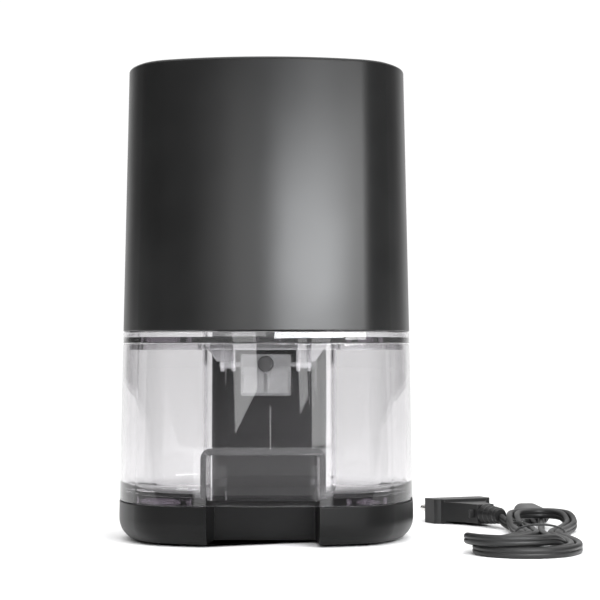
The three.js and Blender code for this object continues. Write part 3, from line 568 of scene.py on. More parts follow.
def tank_plastic():
    """The tank is clearest where it is polished. The front edges of its finger pocket are made milkier:
    painted highlight, standing in for the bright lines along them.
    """
    look = clear_plastic("tank_clear", TANK_TINT, (0.0, 0.03), TANK_HAZE)
    x, y, z = look.axes()
    aside = look.math("ABSOLUTE", x)
    inner, outer, above = (POCKET_HALF - 1) * MM, (POCKET_HALF + 4.5) * MM, (POCKET_TOP + 2.6) * MM
    beside = look.spread(aside, 0, 1, inner, inner + 0.5 * MM)
    over = look.spread(z, 0, 1, (POCKET_TOP - 1.4) * MM, (POCKET_TOP - 0.4) * MM)
    share = look.math("MAXIMUM", beside, over)
    share = look.math("MULTIPLY", share, look.spread(aside, 1, 0, outer, outer + 1.5 * MM))
    share = look.math("MULTIPLY", share, look.spread(y, 1, 0, -56 * MM, -54 * MM))
    share = look.math("MULTIPLY", share, look.spread(z, 1, 0, above, above + 1.5 * MM))
    # Where the mask is full, the lower transmission leaves the painted highlight's milky white share.
    share = look.spread(share, 1 - TANK_HAZE, 1 - POCKET_PAINTED_HIGHLIGHT, 0, 1)
    look.links.new(share, look.shader.inputs["Transmission Weight"])
    return look.material


def lid_plastic():
    """The lid scatters a little light, and its float brackets scatter more. Beyond the tank's slight haze
    these milky shares are painted light, standing in for the light on the lid's bands and on the brackets.
    """
    look = clear_plastic("lid_clear", TANK_TINT, (0.0, 0.03), LID_HAZE_AND_PAINTED_LIGHT)
    height = look.axes()[2]
    low, high = (LID_SKIRT - 1) * MM, (LID_SKIRT + 1) * MM
    # Below the skirt, on the float brackets, the larger milky share is painted light.
    share = look.spread(height, 1 - BRACKET_PAINTED_LIGHT, 1 - LID_HAZE_AND_PAINTED_LIGHT, low, high)
    look.links.new(share, look.shader.inputs["Transmission Weight"])
    return look.material


def frosted_plastic():
    """Thin milky plastic, half clear and half white."""
    look = Look("frosted_plastic").set(Transmission_Weight=0.9, IOR=1.45)
    flow = look.noise(60, 3)
    look.colour(flow, grey(0.70), grey(0.76))
    look.rough(flow, 0.06, 0.12)
    look.bump(look.noise(900, 2), 0.006)
    return look.lets_lamps_through().material


def rubber():
    look = Look("foot_rubber").set(IOR=1.5)
    slow = look.noise(90)
    look.colour(slow, grey(0.010), grey(0.018))
    look.rough(slow, 0.7, 0.85)
    look.bump(look.noise(1800), 0.03)
    return look.material


def foam():
    look = Look("closed_cell_foam")
    pores = look.cells(700)
    look.colour(pores, grey(0.02), grey(0.06), 0.1, 0.6)
    look.set(Roughness=0.95)
    look.bump(pores, 0.15)
    return look.material


def ceramic():
    look = Look("peltier_ceramic").set(IOR=1.6)
    grain = look.noise(700, 4)
    return patterned(look, grain, (0.78, 0.77, 0.73), (0.86, 0.85, 0.82), (0.45, 0.65), 0.01)


def winding():
    look = Look("winding_copper").set(Metallic=1.0)
    turns = look.bands(900, 0.4)
    return patterned(look, turns, (0.40, 0.15, 0.06), (0.83, 0.42, 0.20), (0.3, 0.45), 0.15, 0.2, 0.8)


def circuit_board():
    """Green solder mask over copper tracks."""
    look = Look("circuit_board").set(IOR=1.5, Coat_Weight=0.4, Coat_Roughness=0.2)
    tracks = look.cells(260)
    return patterned(look, tracks, (0.015, 0.10, 0.045), (0.03, 0.17, 0.08), (0.35, 0.5), 0.03, 0.35, 0.4)


def sleeve():
    look = Look("capacitor_sleeve").set(IOR=1.5)
    wrap = look.noise(1, 2, look.stretched(30, 300, 300))
    return patterned(look, wrap, (0.012, 0.025, 0.11), (0.02, 0.04, 0.17), (0.25, 0.4), 0.02)


LOOKS = {
    "shell_black": moulded("shell_black", grey(0.006), grey(0.008), (0.3, 0.34), 0.004, shine=0.36),
    # The base's black is darker and less reflective than the shell's: painted shade, standing in for the
    # dimmer surroundings the base reflects.
    "base_black": moulded("base_black", grey(0.003), grey(0.005), (0.32, 0.38), 0.002, shine=0.17),
    "tank_clear": tank_plastic(),
    "lid_clear": lid_plastic(),
    "float_frosted": frosted_plastic(),
    "magnet_metal": metal("magnet_metal", grey(0.03), grey(0.05), (0.34, 0.45), (300, 300, 300)),
    "foot_rubber": rubber(),
    "screw_steel": metal("screw_steel", grey(0.42), grey(0.56), (0.25, 0.38)),
    "pin_nickel": metal("pin_nickel", (0.60, 0.59, 0.56), (0.74, 0.73, 0.70), (0.18, 0.3)),
    "heatsink_aluminium": metal(
        "heatsink_aluminium", grey(0.55), grey(0.72), (0.32, 0.48), (1500, 1500, 12)
    ),
    "insulation_foam": foam(),
    "peltier_ceramic": ceramic(),
    "fan_plastic": moulded("fan_plastic", grey(0.012), grey(0.02), (0.32, 0.4), 0.006),
    "winding_copper": winding(),
    "circuit_board": circuit_board(),
    "capacitor_sleeve": sleeve(),
    "lamp_clear": clear_plastic("lamp_clear", (0.86, 0.90, 0.93), (0.08, 0.16), 0.0).material,
    "lead_black": moulded("lead_black", grey(0.007), grey(0.011), (0.4, 0.5), 0.01, 1400, 0.35),
}


# ---- finished pieces


def finish_piece(made, name, slot, *nodes, body="housing", angle=32, look=None):
    """Scales a piece to metres, gives it its name, body and finish, and hides the CAD nodes it stands for.
    """
    made.name = name
    made.data.name = name
    made.data.transform(Matrix.Scale(MM, 4))
    made.data.shade_smooth()
    made.data.set_sharp_from_angle(angle=radians(angle))
    shade = made.modifiers.new("shade", "WEIGHTED_NORMAL")
    shade.keep_sharp = True
    made.data.materials.clear()
    made.data.materials.append(LOOKS[look or slot])
    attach(made, body)
    if nodes:
        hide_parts(*nodes)
    return made


def dress(node, slot):
    """Gives a CAD node that stays in view its finish."""
    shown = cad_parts[node]
    shown.data.materials.clear()
    shown.data.materials.append(LOOKS[slot])


# ---- camera, floor and light

CAMERA_RIGHT = 0.03
CAMERA_BACK = 1.07
CAMERA_HEIGHT = 0.0945
CAMERA_LENS = 124.4
CAMERA_TILT_UP = radians(1.49)
CAMERA_TURN_LEFT = radians(0.68)


def make_camera():
    data = bpy.data.cameras.new("camera")
    data.lens = CAMERA_LENS
    data.sensor_width = 36
    camera = bpy.data.objects.new("camera", data)
    camera.location = (CAMERA_RIGHT, -CAMERA_BACK, CAMERA_HEIGHT)
    camera.rotation_euler = (pi / 2 + CAMERA_TILT_UP, 0, CAMERA_TURN_LEFT)
    bpy.context.scene.collection.objects.link(camera)
    bpy.context.scene.camera = camera


def make_floor():
    reach, front = 12, -0.34  # the floor ends just outside the camera's view
    corners = [(-reach, front, 0), (reach, front, 0), (reach, reach, 0), (-reach, reach, 0)]
    floor = new_object("floor", corners, [(0, 1, 2, 3)])
    look = Look("floor_pale").set(Roughness=1.0, Specular_IOR_Level=0.0)
    look.colour(look.noise(2), grey(0.90), grey(0.92))
    floor.data.materials.append(look.material)


def softbox(name, azimuth, elevation, distance, size, power, lean=0.0):
    """An area light that faces the object. Azimuth 0 is in front and grows to the right."""
    data = bpy.data.lights.new(name, "AREA")
    data.shape = "RECTANGLE"
    data.size, data.size_y = size
    data.energy = power
    lamp = bpy.data.objects.new(name, data)
    a, e = radians(azimuth), radians(elevation)
    aim = Vector((0, 0, 0.12))
    away = Vector((sin(a) * cos(e), -cos(a) * cos(e), sin(e)))
    lamp.location = aim + away * distance
    facing = away.to_track_quat("Z", "Y").to_matrix() @ Matrix.Rotation(radians(lean), 3, "Z")
    lamp.rotation_euler = facing.to_euler()
    bpy.context.scene.collection.objects.link(lamp)
    return lamp


def make_world():
    """A white backdrop. Its light comes from behind, above and below, so that black plastic stays black."""
    world = bpy.data.worlds.new("studio")
    bpy.context.scene.world = world
    world.use_nodes = True
    tree = world.node_tree
    direction = add_node(tree, "ShaderNodeTexCoord").outputs["Generated"]
    axes = add_node(tree, "ShaderNodeSeparateXYZ", Vector=direction).outputs
    brightest = add_node(tree, "ShaderNodeLightPath").outputs["Is Camera Ray"]
    # Axis of the direction, where the light starts and is full, and its two strengths.
    ranges = (("Y", 0.72, 0.97, 0.08, 1.05), ("Z", 0.2, 0.75, 0.0, 1.5), ("Z", 0.0, -0.06, 0.0, 0.55))
    for axis, low, high, dim, bright in ranges:
        ends = {"From_Min": low, "From_Max": high, "To_Min": dim, "To_Max": bright}
        spread = add_node(tree, "ShaderNodeMapRange", Value=axes[axis], **ends)
        spread.interpolation_type = "SMOOTHSTEP"
        larger = add_node(tree, "ShaderNodeMath")
        larger.operation = "MAXIMUM"
        tree.links.new(brightest, larger.inputs[0])
        tree.links.new(spread.outputs["Result"], larger.inputs[1])
        brightest = larger.outputs["Value"]
    background = tree.nodes["Background"]
    tree.links.new(brightest, background.inputs["Strength"])
    background.inputs["Color"].default_value = (1, 1, 1, 1)


def make_studio():
    make_camera()
    make_floor()
    make_world()
    softbox("key", 22, 7, 0.5, (0.32, 0.11), 2.6).data.color = (0.965, 0.98, 1.0)
    softbox("left_wash", -12, 6, 0.8, (0.16, 0.26), 0.42, lean=14)
    softbox("upper_wash", -16, 6.2, 0.8, (0.46, 0.11), 0.42)
    softbox("streak", 18, 1.5, 0.8, (0.06, 0.12), 0.07, lean=14)
    softbox("sliver", 2.2, -4, 0.8, (0.008, 0.035), 0.003)
    softbox("right_wash", 48, 8, 0.8, (0.22, 0.2), 1.5)
    softbox("strip", 28, 8, 1.6, (0.28, 0.6), 1.7)
    softbox("overhead", 0, 78, 1.5, (1.6, 1.6), 9)
    bpy.context.scene.view_settings.view_transform = "Standard"


# ---- mains lead

WAIST = Vector((139, -16, 0))  # where the tie holds the hank
CORD_THIN = 3.4
CORD_WIDE = 5.4
ON_FLOOR = CORD_WIDE / 2
PLUG_EXIT = Vector((-13.6, 71.2, 0))
PLUG_TURN = radians(25)
CONNECTOR_EXIT = Vector((9.7, 88, 0))
CONNECTOR_TURN = radians(3)

# Half turns of the hank from the waist round and back, as the outermost and the innermost one.
LOWER_OUTER = [
    (9, 0), (10, -18), (12.2, -36), (13, -54), (10.4, -72), (3, -87), (-10, -96),
    (-24, -95.6), (-36, -87.5), (-41.6, -73), (-36, -54), (-25.5, -34), (-14.5, -15), (-9, 0),
]
LOWER_INNER = [
    (1.8, 0), (2.6, -18), (4.6, -36), (5.2, -53), (3.2, -69), (-2.8, -81), (-11.5, -88),
    (-22, -87.6), (-30.4, -81.6), (-33.6, -71), (-28, -53), (-17.5, -34), (-7, -15), (-1.8, 0),
]
UPPER_OUTER = [
    (-9, 0), (-9.6, 17), (-10.6, 34), (-10.9, 50), (-8.4, 64), (-1.6, 73.4), (7.2, 77),
    (16.4, 74), (22.4, 66), (23.8, 55), (18.4, 35), (13.2, 18), (9, 0),
]
UPPER_INNER = [
    (-5.4, 0), (-5.8, 17), (-6.6, 34), (-7, 50), (-4.8, 62), (0.4, 70), (7.2, 73.2),
    (14, 70.6), (18.6, 63.8), (20, 54), (14.6, 35), (9.4, 18), (5.4, 0),
]


def eased(t):
    t = min(1.0, max(0.0, t))
    return t * t * (3 - 2 * t)


def half_turn(sides, start, end, height):
    """Points of one half turn, whose place between outer (0) and inner (1) goes from start to end."""
    outer, inner = sides
    points = []
    last = len(outer) - 1
    for i, ((u0, v0), (u1, v1)) in enumerate(zip(outer, inner)):
        share = start + (end - start) * eased((i / last - 0.3) / 0.4)
        points.append(Vector((u0 + (u1 - u0) * share, v0 + (v1 - v0) * share, height(i / last))))
    return points


def flat(_):
    return ON_FLOOR


def over_turns(t):
    """A long hump, where the first lower turn crosses the two others."""
    return ON_FLOOR + CORD_WIDE * eased((t - 0.22) / 0.2) * eased((0.86 - t) / 0.2)


def over_ends(t):
    """A hump where an upper turn crosses the stretches to the plug and to the connector."""
    return ON_FLOOR + CORD_WIDE * eased((t - 0.12) / 0.18) * eased((0.82 - t) / 0.2)


def on_floor(*points):
    return [Vector((x, y, ON_FLOOR)) for x, y in points]


def lead_route():
    """The whole cord from the connector to the plug, from the waist of the hank."""
    start = [
        CONNECTOR_EXIT + Vector((0, 0, 4.2)),
        Vector((9.3, 83.5, 3.2)),
        *on_floor((8.9, 79.4), (7.9, 68), (6, 50), (4, 32), (2.4, 15)),
    ]
    end = [
        *on_floor((-1.4, 15), (-1.4, 30), (-3, 45), (-7, 57)),
        Vector((-11.3, 66.2, 3.4)),
        PLUG_EXIT + Vector((0, 0, 5.6)),
    ]
    lower_sides, upper_sides = (LOWER_OUTER, LOWER_INNER), (UPPER_OUTER, UPPER_INNER)
    first = half_turn(lower_sides, 1.0, 0.0, over_turns)
    upper = half_turn(upper_sides, 0.0, 0.0, over_ends)
    second = half_turn(lower_sides, 0.0, 0.5, flat)
    upper_again = half_turn(upper_sides, 1.0, 1.0, over_ends)
    third = half_turn(lower_sides, 0.5, 1.0, flat)
    turns = first + upper[1:] + second[1:] + upper_again[1:] + third[1:]
    return [WAIST + point for point in start + turns + end]


def smooth_line(points, step):
    """A centripetal Catmull-Rom curve through the points, with a point about every step."""
    ends = [points[0] * 2 - points[1], *points, points[-1] * 2 - points[-2]]
    line = []
    for a, b, c, d in zip(ends, ends[1:], ends[2:], ends[3:]):
        knots = [0.0]
        for p, q in ((a, b), (b, c), (c, d)):
            knots.append(knots[-1] + sqrt((q - p).length))
        t0, t1, t2, t3 = knots
        count = max(1, round((c - b).length / step))
        for i in range(count):
            t = t1 + (t2 - t1) * i / count
            p1 = a.lerp(b, (t - t0) / (t1 - t0))
            p2 = b.lerp(c, (t - t1) / (t2 - t1))
            p3 = c.lerp(d, (t - t2) / (t3 - t2))
            q1 = p1.lerp(p2, (t - t0) / (t2 - t0))
            q2 = p2.lerp(p3, (t - t1) / (t3 - t1))
            line.append(q1.lerp(q2, (t - t1) / (t2 - t1)))
    line.append(points[-1])
    return line


def twin_section():
    """Section of the flat twin cord: two round conductors side by side with a web between them."""
    radius = CORD_THIN / 2
    centre = CORD_WIDE / 2 - radius
    low, high, steps = -78, 90, 9
    half = [radians(low + (high - low) * i / steps) for i in range(steps + 1)]
    upper = [(radius * cos(a), centre + radius * sin(a)) for a in half]
    left = [(-x, z) for x, z in reversed(upper[:-1])]
    top = upper + left
    return top + [(-x, -z) for x, z in top]


def swept(line, section, name):
    """A section carried along a line, with its second axis kept upright."""
    count = len(section)
    vertices, faces = [], []
    for i, point in enumerate(line):
        before, after = line[max(0, i - 1)], line[min(len(line) - 1, i + 1)]
        along = (after - before).normalized()
        across = along.cross(Vector((0, 0, 1))).normalized()
        upright = across.cross(along)
        vertices += [point + across * x + upright * z for x, z in section]
    for start in range(0, len(vertices) - count, count):
        for i in range(count):
            j = (i + 1) % count
            faces.append((start + i, start + i + count, start + j + count, start + j))
    faces.append(tuple(range(count)))
    faces.append(tuple(reversed(range(len(vertices) - count, len(vertices)))))
    return new_object(name, vertices, faces)


PLUG_RELIEF = 19.0
PLUG_LENGTH = 55.0
PLUG_HALF = 17.6
PLUG_THICK = 13.7
PIN_X = 9.3
PIN_REACH = 19.0


def relief_profile(start, end, r0, r1, rings, step_out):
    """A tapered sleeve with raised rings and slots between them, as lathe points along its axis."""
    profile = [(0, start), (r0, start)]
    pitch = (end - start) / (rings + 0.5)
    for ring in range(rings):
        z = start + pitch * (ring + 0.15)
        radius = r0 + (r1 - r0) * (ring + 0.5) / rings
        profile += [
            (radius, z),
            (radius + step_out, z + 0.25 * pitch),
            (radius + step_out, z + 0.55 * pitch),
            (radius, z + 0.75 * pitch),
        ]
    profile += [(r1, end), (0, end)]
    return profile


def plug_outline():
    """The plug seen from its flat side, from the relief to its face."""
    right = [
        (5.2, PLUG_RELIEF - 2), (5.7, 22), (6.6, 26), (8.2, 31), (10.6, 36), (13, 39.6),
        (14.4, 41.6), (16.2, 42.4), (PLUG_HALF, 43.6), (PLUG_HALF, PLUG_LENGTH),
    ]
    return right + [(-x, y) for x, y in reversed(right)]


def make_plug():
    middle = PLUG_THICK / 2
    body = prism(plug_outline(), 0.05, PLUG_THICK)
    # The grip is thinner than the face by a step on each side.
    step = 1.6
    for z0, z1 in ((-5, step), (PLUG_THICK - step, PLUG_THICK + 5)):
        cut(body, block(-20, 20, 10, 40, z0, z1))
    bevelled(body, 1.3, 4, 30)
    relief = lathe(relief_profile(0.3, PLUG_RELIEF + 1, 3.5, 4.9, 4, 0.75), 40)
    join(body, moved(relief, 0, 0, middle, -pi / 2, "X"))
    ear = block(-8.2, 8.2, PLUG_RELIEF + 1.2, PLUG_RELIEF + 3, middle - 2.2, middle + 2.2)
    join(body, bevelled(ear, 0.5))
    for _, side in SIDES:
        cut(body, rod_y(side * PIN_X, PLUG_LENGTH - 6, PLUG_LENGTH + 1, middle, 2 + GAP))
    moved(body, *(WAIST + PLUG_EXIT), PLUG_TURN)
    return finish_piece(body, "plug", "lead_black", "lead_plug")


def make_pin(name, side):
    """A solid pin with an insulating sleeve on its inner half."""
    tip = PLUG_LENGTH + PIN_REACH
    root = PLUG_LENGTH - 5.6
    bare = lathe([(0, root), (1.88, root), (1.88, tip - 2), (1.7, tip - 0.9), (1.2, tip - 0.2), (0, tip)])
    jacket = lathe([(0, root), (2, root), (2, tip - 10), (1.9, tip - 9.6), (0, tip - 9.6)])
    for part in (bare, jacket):
        moved(part, side * PIN_X, 0, PLUG_THICK / 2, -pi / 2, "X")
        moved(part, *(WAIST + PLUG_EXIT), PLUG_TURN)
    return [
        finish_piece(bare, f"pin_{name}", "pin_nickel", f"plug_pin_{name}"),
        finish_piece(jacket, f"pin_sleeve_{name}", "lead_black"),
    ]


CONNECTOR_LENGTH = 54.0
CONNECTOR_HALF = 7.3
CONNECTOR_THICK = 8.8
CONNECTOR_RELIEF = 16.0


def make_connector():
    middle = CONNECTOR_THICK / 2
    body = prism_y(stadium(0, middle, CONNECTOR_HALF, middle, 8), CONNECTOR_RELIEF, CONNECTOR_LENGTH)
    bevelled(body, 0.9, 3, 60)
    relief = lathe(relief_profile(0.3, CONNECTOR_RELIEF + 2, 3.2, 3.7, 4, 0.6), 40)
    join(body, moved(relief, 0, 0, middle, -pi / 2, "X"))
    for _, side in SIDES:
        cut(body, rod_y(side * CONTACT_X, CONNECTOR_LENGTH - 12, CONNECTOR_LENGTH + 4, middle, 1.5))
    moved(body, *(WAIST + CONNECTOR_EXIT), CONNECTOR_TURN)
    return finish_piece(body, "connector", "lead_black", "lead_connector")


def swept_ring(line, half_width, half_thick):
    """A flat band along a line that goes round in the X-Z plane, lying flat on what it wraps."""
    vertices, faces = [], []
    corners = (
        (-half_width, -half_thick),
        (half_width, -half_thick),
        (half_width, half_thick),
        (-half_width, half_thick),
    )
    for i, point in enumerate(line):
        before, after = line[max(0, i - 1)], line[min(len(line) - 1, i + 1)]
        along = (after - before).normalized()
        out = along.cross(Vector((0, 1, 0))).normalized() * -1
        vertices += [point + Vector((0, w, 0)) + out * t for w, t in corners]
    for start in range(0, len(vertices) - 4, 4):
        for i in range(4):
            j = (i + 1) % 4
            faces.append((start + i, start + j, start + j + 4, start + i + 4))
    faces.append((0, 3, 2, 1))
    faces.append(tuple(range(len(vertices) - 4, len(vertices))))
    return bevelled(new_object("band", vertices, faces), 0.25, 2)


def make_tie():
    """A wire tie wrapped round the strands, with its twisted ends on top."""
    half, middle, rise, slant, steps = 12.2, 4.4, 3.8, 1.4, 48
    line = []
    for i in range(steps + 1):
        angle = 2 * pi * i / steps
        line.append(Vector((half * cos(angle), -slant + 2 * slant * i / steps, middle + rise * sin(angle))))
    made = [swept_ring(line, 0.95, 0.5)]
    section = [(cos(a), 0.55 * sin(a)) for a in [2 * pi * i / 10 for i in range(10)]]
    radius = 0.8
    for side in (-1, 1):
        twist = []
        for i in range(25):
            angle = side * pi / 2 + i * 0.55
            height = 8.4 + radius * sin(angle) + i * 0.05
            twist.append(Vector((-9.5 - i * 0.14, radius * cos(angle), height)))
        made.append(swept(twist, section, "twist"))
    return finish_piece(moved(merged(made), *WAIST), "tie", "lead_black", "lead_tie")


def make_lead():
    line = smooth_line(lead_route(), 2.2)
    tube = swept(line, twin_section(), "lead_cord")
    cord_nodes = ("lead_hank", "lead_cord_start", "lead_cord_end")
    finish_piece(tube, "lead_cord", "lead_black", *cord_nodes, angle=70)
    with_pieces = [make_plug(), make_connector(), make_tie()]
    for name, side in SIDES:
        with_pieces += make_pin(name, side)


make_studio()
make_lead()


# ---- base and column


def base_recess(z0, z1, grow=0.0):
    front, back, end = RECESS_FRONT_HALF + grow, RECESS_BACK_HALF + grow, RECESS_END + grow
    return prism([(-front, OUT_FRONT), (front, OUT_FRONT), (back, end), (-back, end)], z0, z1)


def make_base():
    low, top = BASE_LOW.z, BASE_HIGH.z
    # Heights, and how far the flared wall stands outside the plan outline there.
    profile = [(low, -1.4)] + arc(low + 0.9, -0.5, 0.9, -90, -30, 3)
    profile += [(3.2, 1.55), (4.2, 2.5), (5.4, 3.3), (6.8, 3.95), (8.4, 4.45), (10, 4.72), (12, 4.82)]
    profile += arc(top - EDGE, draft(top) - EDGE, EDGE, 0, 90, 4)
    body = loft(profile)
    deck = top - WALL
    hollow = loft([(1.2, -3.6), (4.3, -3.6), (4.3, 0.4), (8, 1.9), (deck, 2.2)])
    cut(hollow, base_recess(1, 19, WALL))
    cut(body, hollow)
    for _, sx, sy in CORNERS:
        x, y = sx * BASE_SCREW_X, sy * BASE_SCREW_Y
        join(body, rod(x, y, 4.1, deck + 0.5, 4))
        cut(body, rod(x, y, 2, 13.5, 1.6))
    cut(body, base_recess(0, 22))
    for _, side in SIDES:
        cut(body, rod(side * COLUMN_SCREW_X, COLUMN_SCREW_Y, 10, 25, 2.1))
    bevelled(body, 0.6, 3)
    finish_piece(body, "base_shell", "base_black", "base")


def make_feet():
    profile = [(0, 0), (5.6, 0), (6.2, 0.18), (6.5, 0.6), (6.5, 1.5), (2.6, 1.5), (2.6, 4.6), (0, 4.6)]
    for name, sx, sy in CORNERS:
        x, y = sx * FOOT_X, sy * FOOT_Y
        made = moved(lathe(profile, 40), x, y)
        for r in (1.8, 3.4):
            cut(made, moved(lathe([(r, -0.2), (r + 0.5, -0.2), (r + 0.5, 0.35), (r, 0.35)], 40), x, y))
        finish_piece(made, f"foot_pad_{name}", "foot_rubber", f"foot_{name}")


def cross_recess(depth, reach, width):
    """Cutter for a cross drive, opening upward at z 0."""
    half = width / 2
    along_x = block(-reach, reach, -half, half, -depth, 0.5)
    return join(along_x, block(-half, half, -reach, reach, -depth, 0.5))


def make_screw(name, node, head_radius, head_height, length, place, turn):
    """A pan-head screw with a cross recess, which points down from z 0 before the turn about X."""
    profile = [(0, -length), (0.9, -length), (1.3, 0.8 - length), (1.3, -head_height)]
    profile += [(head_radius, -head_height), (head_radius, -0.45 * head_height)]
    profile += [(0.86 * head_radius, -0.14 * head_height), (0.5 * head_radius, -0.02), (0, 0)]
    made = lathe(profile, 28)
    cut(made, cross_recess(0.55 * head_height, 0.6 * head_radius, 0.24 * head_radius))
    return finish_piece(moved(made, *place, turn, "X"), name, "screw_steel", node)


def make_base_screws():
    for corner, _, _ in CORNERS:
        node = f"base_screw_{corner}"
        low, high = box_mm(node)
        place = ((low.x + high.x) / 2, (low.y + high.y) / 2, low.z)
        make_screw(f"base_bolt_{corner}", node, 3, 0.9, high.z - low.z, place, pi)
    for name, _ in SIDES:
        node = f"rear_screw_{name}"
        low, high = box_mm(node)
        place = ((low.x + high.x) / 2, high.y, (low.z + high.z) / 2)
        make_screw(f"rear_bolt_{name}", node, 2.9, 2.1, high.y - low.y, place, -pi / 2)


def make_column():
    low, top = COLUMN_LOW.z, COLUMN_HIGH.z
    half, front = COLUMN_HIGH.x, COLUMN_LOW.y
    skin = prism(rounded(-half, half, front, OUT_BACK, COLUMN_RADIUS, 12), BELOW, ABOVE)
    skin = common(drafted(low, top), skin)
    inside = rounded(WALL - half, half - WALL, front + WALL, OUT_BACK, COLUMN_RADIUS - WALL, 8)
    cut(skin, common(drafted(BELOW, ABOVE, WALL), prism(inside, BELOW, ABOVE)))
    for _, side in SIDES:
        x = side * COLUMN_SCREW_X
        join(skin, block(x - 3.5, x + 3.5, front + 1, 59, low, 32))
        cut(skin, rod(x, COLUMN_SCREW_Y, BELOW, 30, 1.8))
    bevelled(skin, 0.4)
    finish_piece(skin, "column", "base_black", "rear_column")


# ---- tank, lid and float


def notch(z0, z1, grow=0.0):
    reach = NOTCH_HALF + grow
    return prism(rounded(-reach, reach, NOTCH_FRONT - grow, OUT_BACK, NOTCH_RADIUS + grow, 8), z0, z1)


def pocket(bottom, grow=0.0):
    """The finger pocket, which narrows towards its back wall."""
    reach, top, radius = POCKET_HALF + grow, POCKET_TOP + grow, POCKET_RADIUS + grow
    points = [(-reach, bottom), (reach, bottom)]
    for centre, quarter in ((reach - radius, 0), (radius - reach, 1)):
        for step in range(7):
            angle = (quarter + step / 6) * pi / 2
            points.append((centre + radius * cos(angle), top - radius + radius * sin(angle)))
    made = prism_y(points, POCKET_MOUTH, POCKET_BACK + grow)
    for vertex in made.data.vertices:
        vertex.co.x *= 1 - POCKET_TAPER * (vertex.co.y - POCKET_MOUTH)
    return made


def make_tank():
    low, rim = TANK_LOW.z, TANK_HIGH.z
    floor_top = low + TANK_FLOOR
    levels = [(low, draft(low) - EDGE)] + arc(low + EDGE, draft(low) - EDGE, EDGE, -90, 0, 3)[1:]
    levels += arc(rim - FINE_EDGE, draft(rim) - FINE_EDGE, FINE_EDGE, 0, 90, 3)
    outside = loft(levels)
    water = []
    for step in range(9):
        angle = radians(90 * step / 8)
        z = floor_top + TANK_FILLET * (1 - cos(angle))
        water.append((z, draft(z) - WALL - TANK_FILLET * (1 - sin(angle))))
    water.append((rim + 1, draft(rim + 1) - WALL))
    hollow = cut(loft(water), notch(BELOW, ABOVE, WALL), pocket(BELOW, POCKET_WALL))
    cut(outside, notch(BELOW, ABOVE), hollow, pocket(floor_top))
    bevelled(outside, 0.35, 2, 50)
    finish_piece(outside, "tank_shell", "tank_clear", "tank", body="tank_drawer", angle=28)


def float_bracket(side):
    """Pin bracket under the lid: two plates, a web behind them and a slanted brace outside."""
    low, root = 85.5, LID_PLATE + 0.5
    plates = []
    for x in (15.5, 21.0):
        inner = min(side * x, side * (x + 2))
        section = [
            (FLOAT_Y - 4, root), (FLOAT_Y - 4, low + 2.5), (FLOAT_Y - 2.5, low),
            (FLOAT_Y + 2.5, low), (FLOAT_Y + 4, low + 1.5), (FLOAT_Y + 4, root),
        ]
        plates.append(bevelled(prism_x(section, inner, inner + 2), 0.55, 3))
    web_x = sorted((side * 16, side * 22.5))
    web = block(*web_x, FLOAT_Y + 2.6, FLOAT_Y + 4, 87, root)
    brace = [(22.5, root), (22.5, 89), (24, 89.4), (32, root)]
    points = [(side * x, z) for x, z in (brace if side < 0 else brace[::-1])]
    arm = bevelled(prism_y(points, FLOAT_Y - 1, FLOAT_Y + 1), 0.5, 2)
    return join(plates[0], plates[1], web, arm)


def make_lid():
    under = 90  # below the skirt
    outer = WALL + LID_CLEARANCE
    inner = outer + SKIRT_WALL
    skirt = cut(drafted(LID_SKIRT, LID_STEP, outer), notch(under, ABOVE, outer))
    levels = arc(LID_PLATE + FINE_EDGE, draft(LID_PLATE) - FINE_EDGE, FINE_EDGE, -90, 0, 3)
    levels += arc(LID_TOP - EDGE, draft(LID_TOP) - EDGE, EDGE, 0, 90, 3)
    join(skirt, cut(loft(levels), notch(under, ABOVE)))
    cut(skirt, cut(drafted(LID_SKIRT - 1, LID_PLATE, inner), notch(under, ABOVE, inner)))
    cut(skirt, cut(drafted(LID_STEP, LID_TOP + 1, WALL), notch(under, ABOVE, WALL)))
    join(skirt, float_bracket(-1), float_bracket(1))
    cut(skirt, rod_x(-30, 30, FLOAT_Y, FLOAT_Z, 1.9), rod(0, DRIP_HOLE_Y, under, 110, DRIP_HOLE_RADIUS, 40))
    bevelled(skirt, 0.25, 2, 50)
    clear = {"angle": 28, "look": "lid_clear"}
    finish_piece(skirt, "lid_plate", "tank_clear", "tank_lid", body="tank_drawer", **clear)


def make_float():
    low, high = FLOAT_LOW.z, FLOAT_HIGH.z
    front = FLOAT_Y - 4
    back = front + FLOAT_DEPTH
    section = [(front, low), (back, low + 1.5), (back, high - 10), (front + 5, high), (front, high)]
    body = bevelled(prism_x(section, -FLOAT_HALF, FLOAT_HALF), 0.8, 3)
    join(body, rod_x(FLOAT_LOW.x, FLOAT_HIGH.x, FLOAT_Y, FLOAT_Z, FLOAT_PIN))
    seat = lathe([(0, -2), (5, -2), (5, 0.7), (4.7, 1), (0, 1)], 40)
    join(body, moved(seat, 0, front, MAGNET_Z, pi / 2, "X"))
    cut(body, rod_y(0, front - 2, front + 2.1, MAGNET_Z, 4.3, 40))
    hollow = [
        (front + FLOAT_WALL, low + 1.4), (front + 18.6, low + 2.8), (front + 18.6, high - 11),
        (front + 11, high - 6.4), (front + 4, high - 6.4), (front + 4, low + 10.6),
        (front + FLOAT_WALL, low + 10.6),
    ]
    for _, side in SIDES:
        inner, outer = sorted((side * 1.0, side * (FLOAT_HALF - FLOAT_WALL)))
        cut(body, bevelled(prism_x(hollow, inner, outer), 0.5))
    finish_piece(body, "float_body", "float_frosted", "float", body="float_arm")


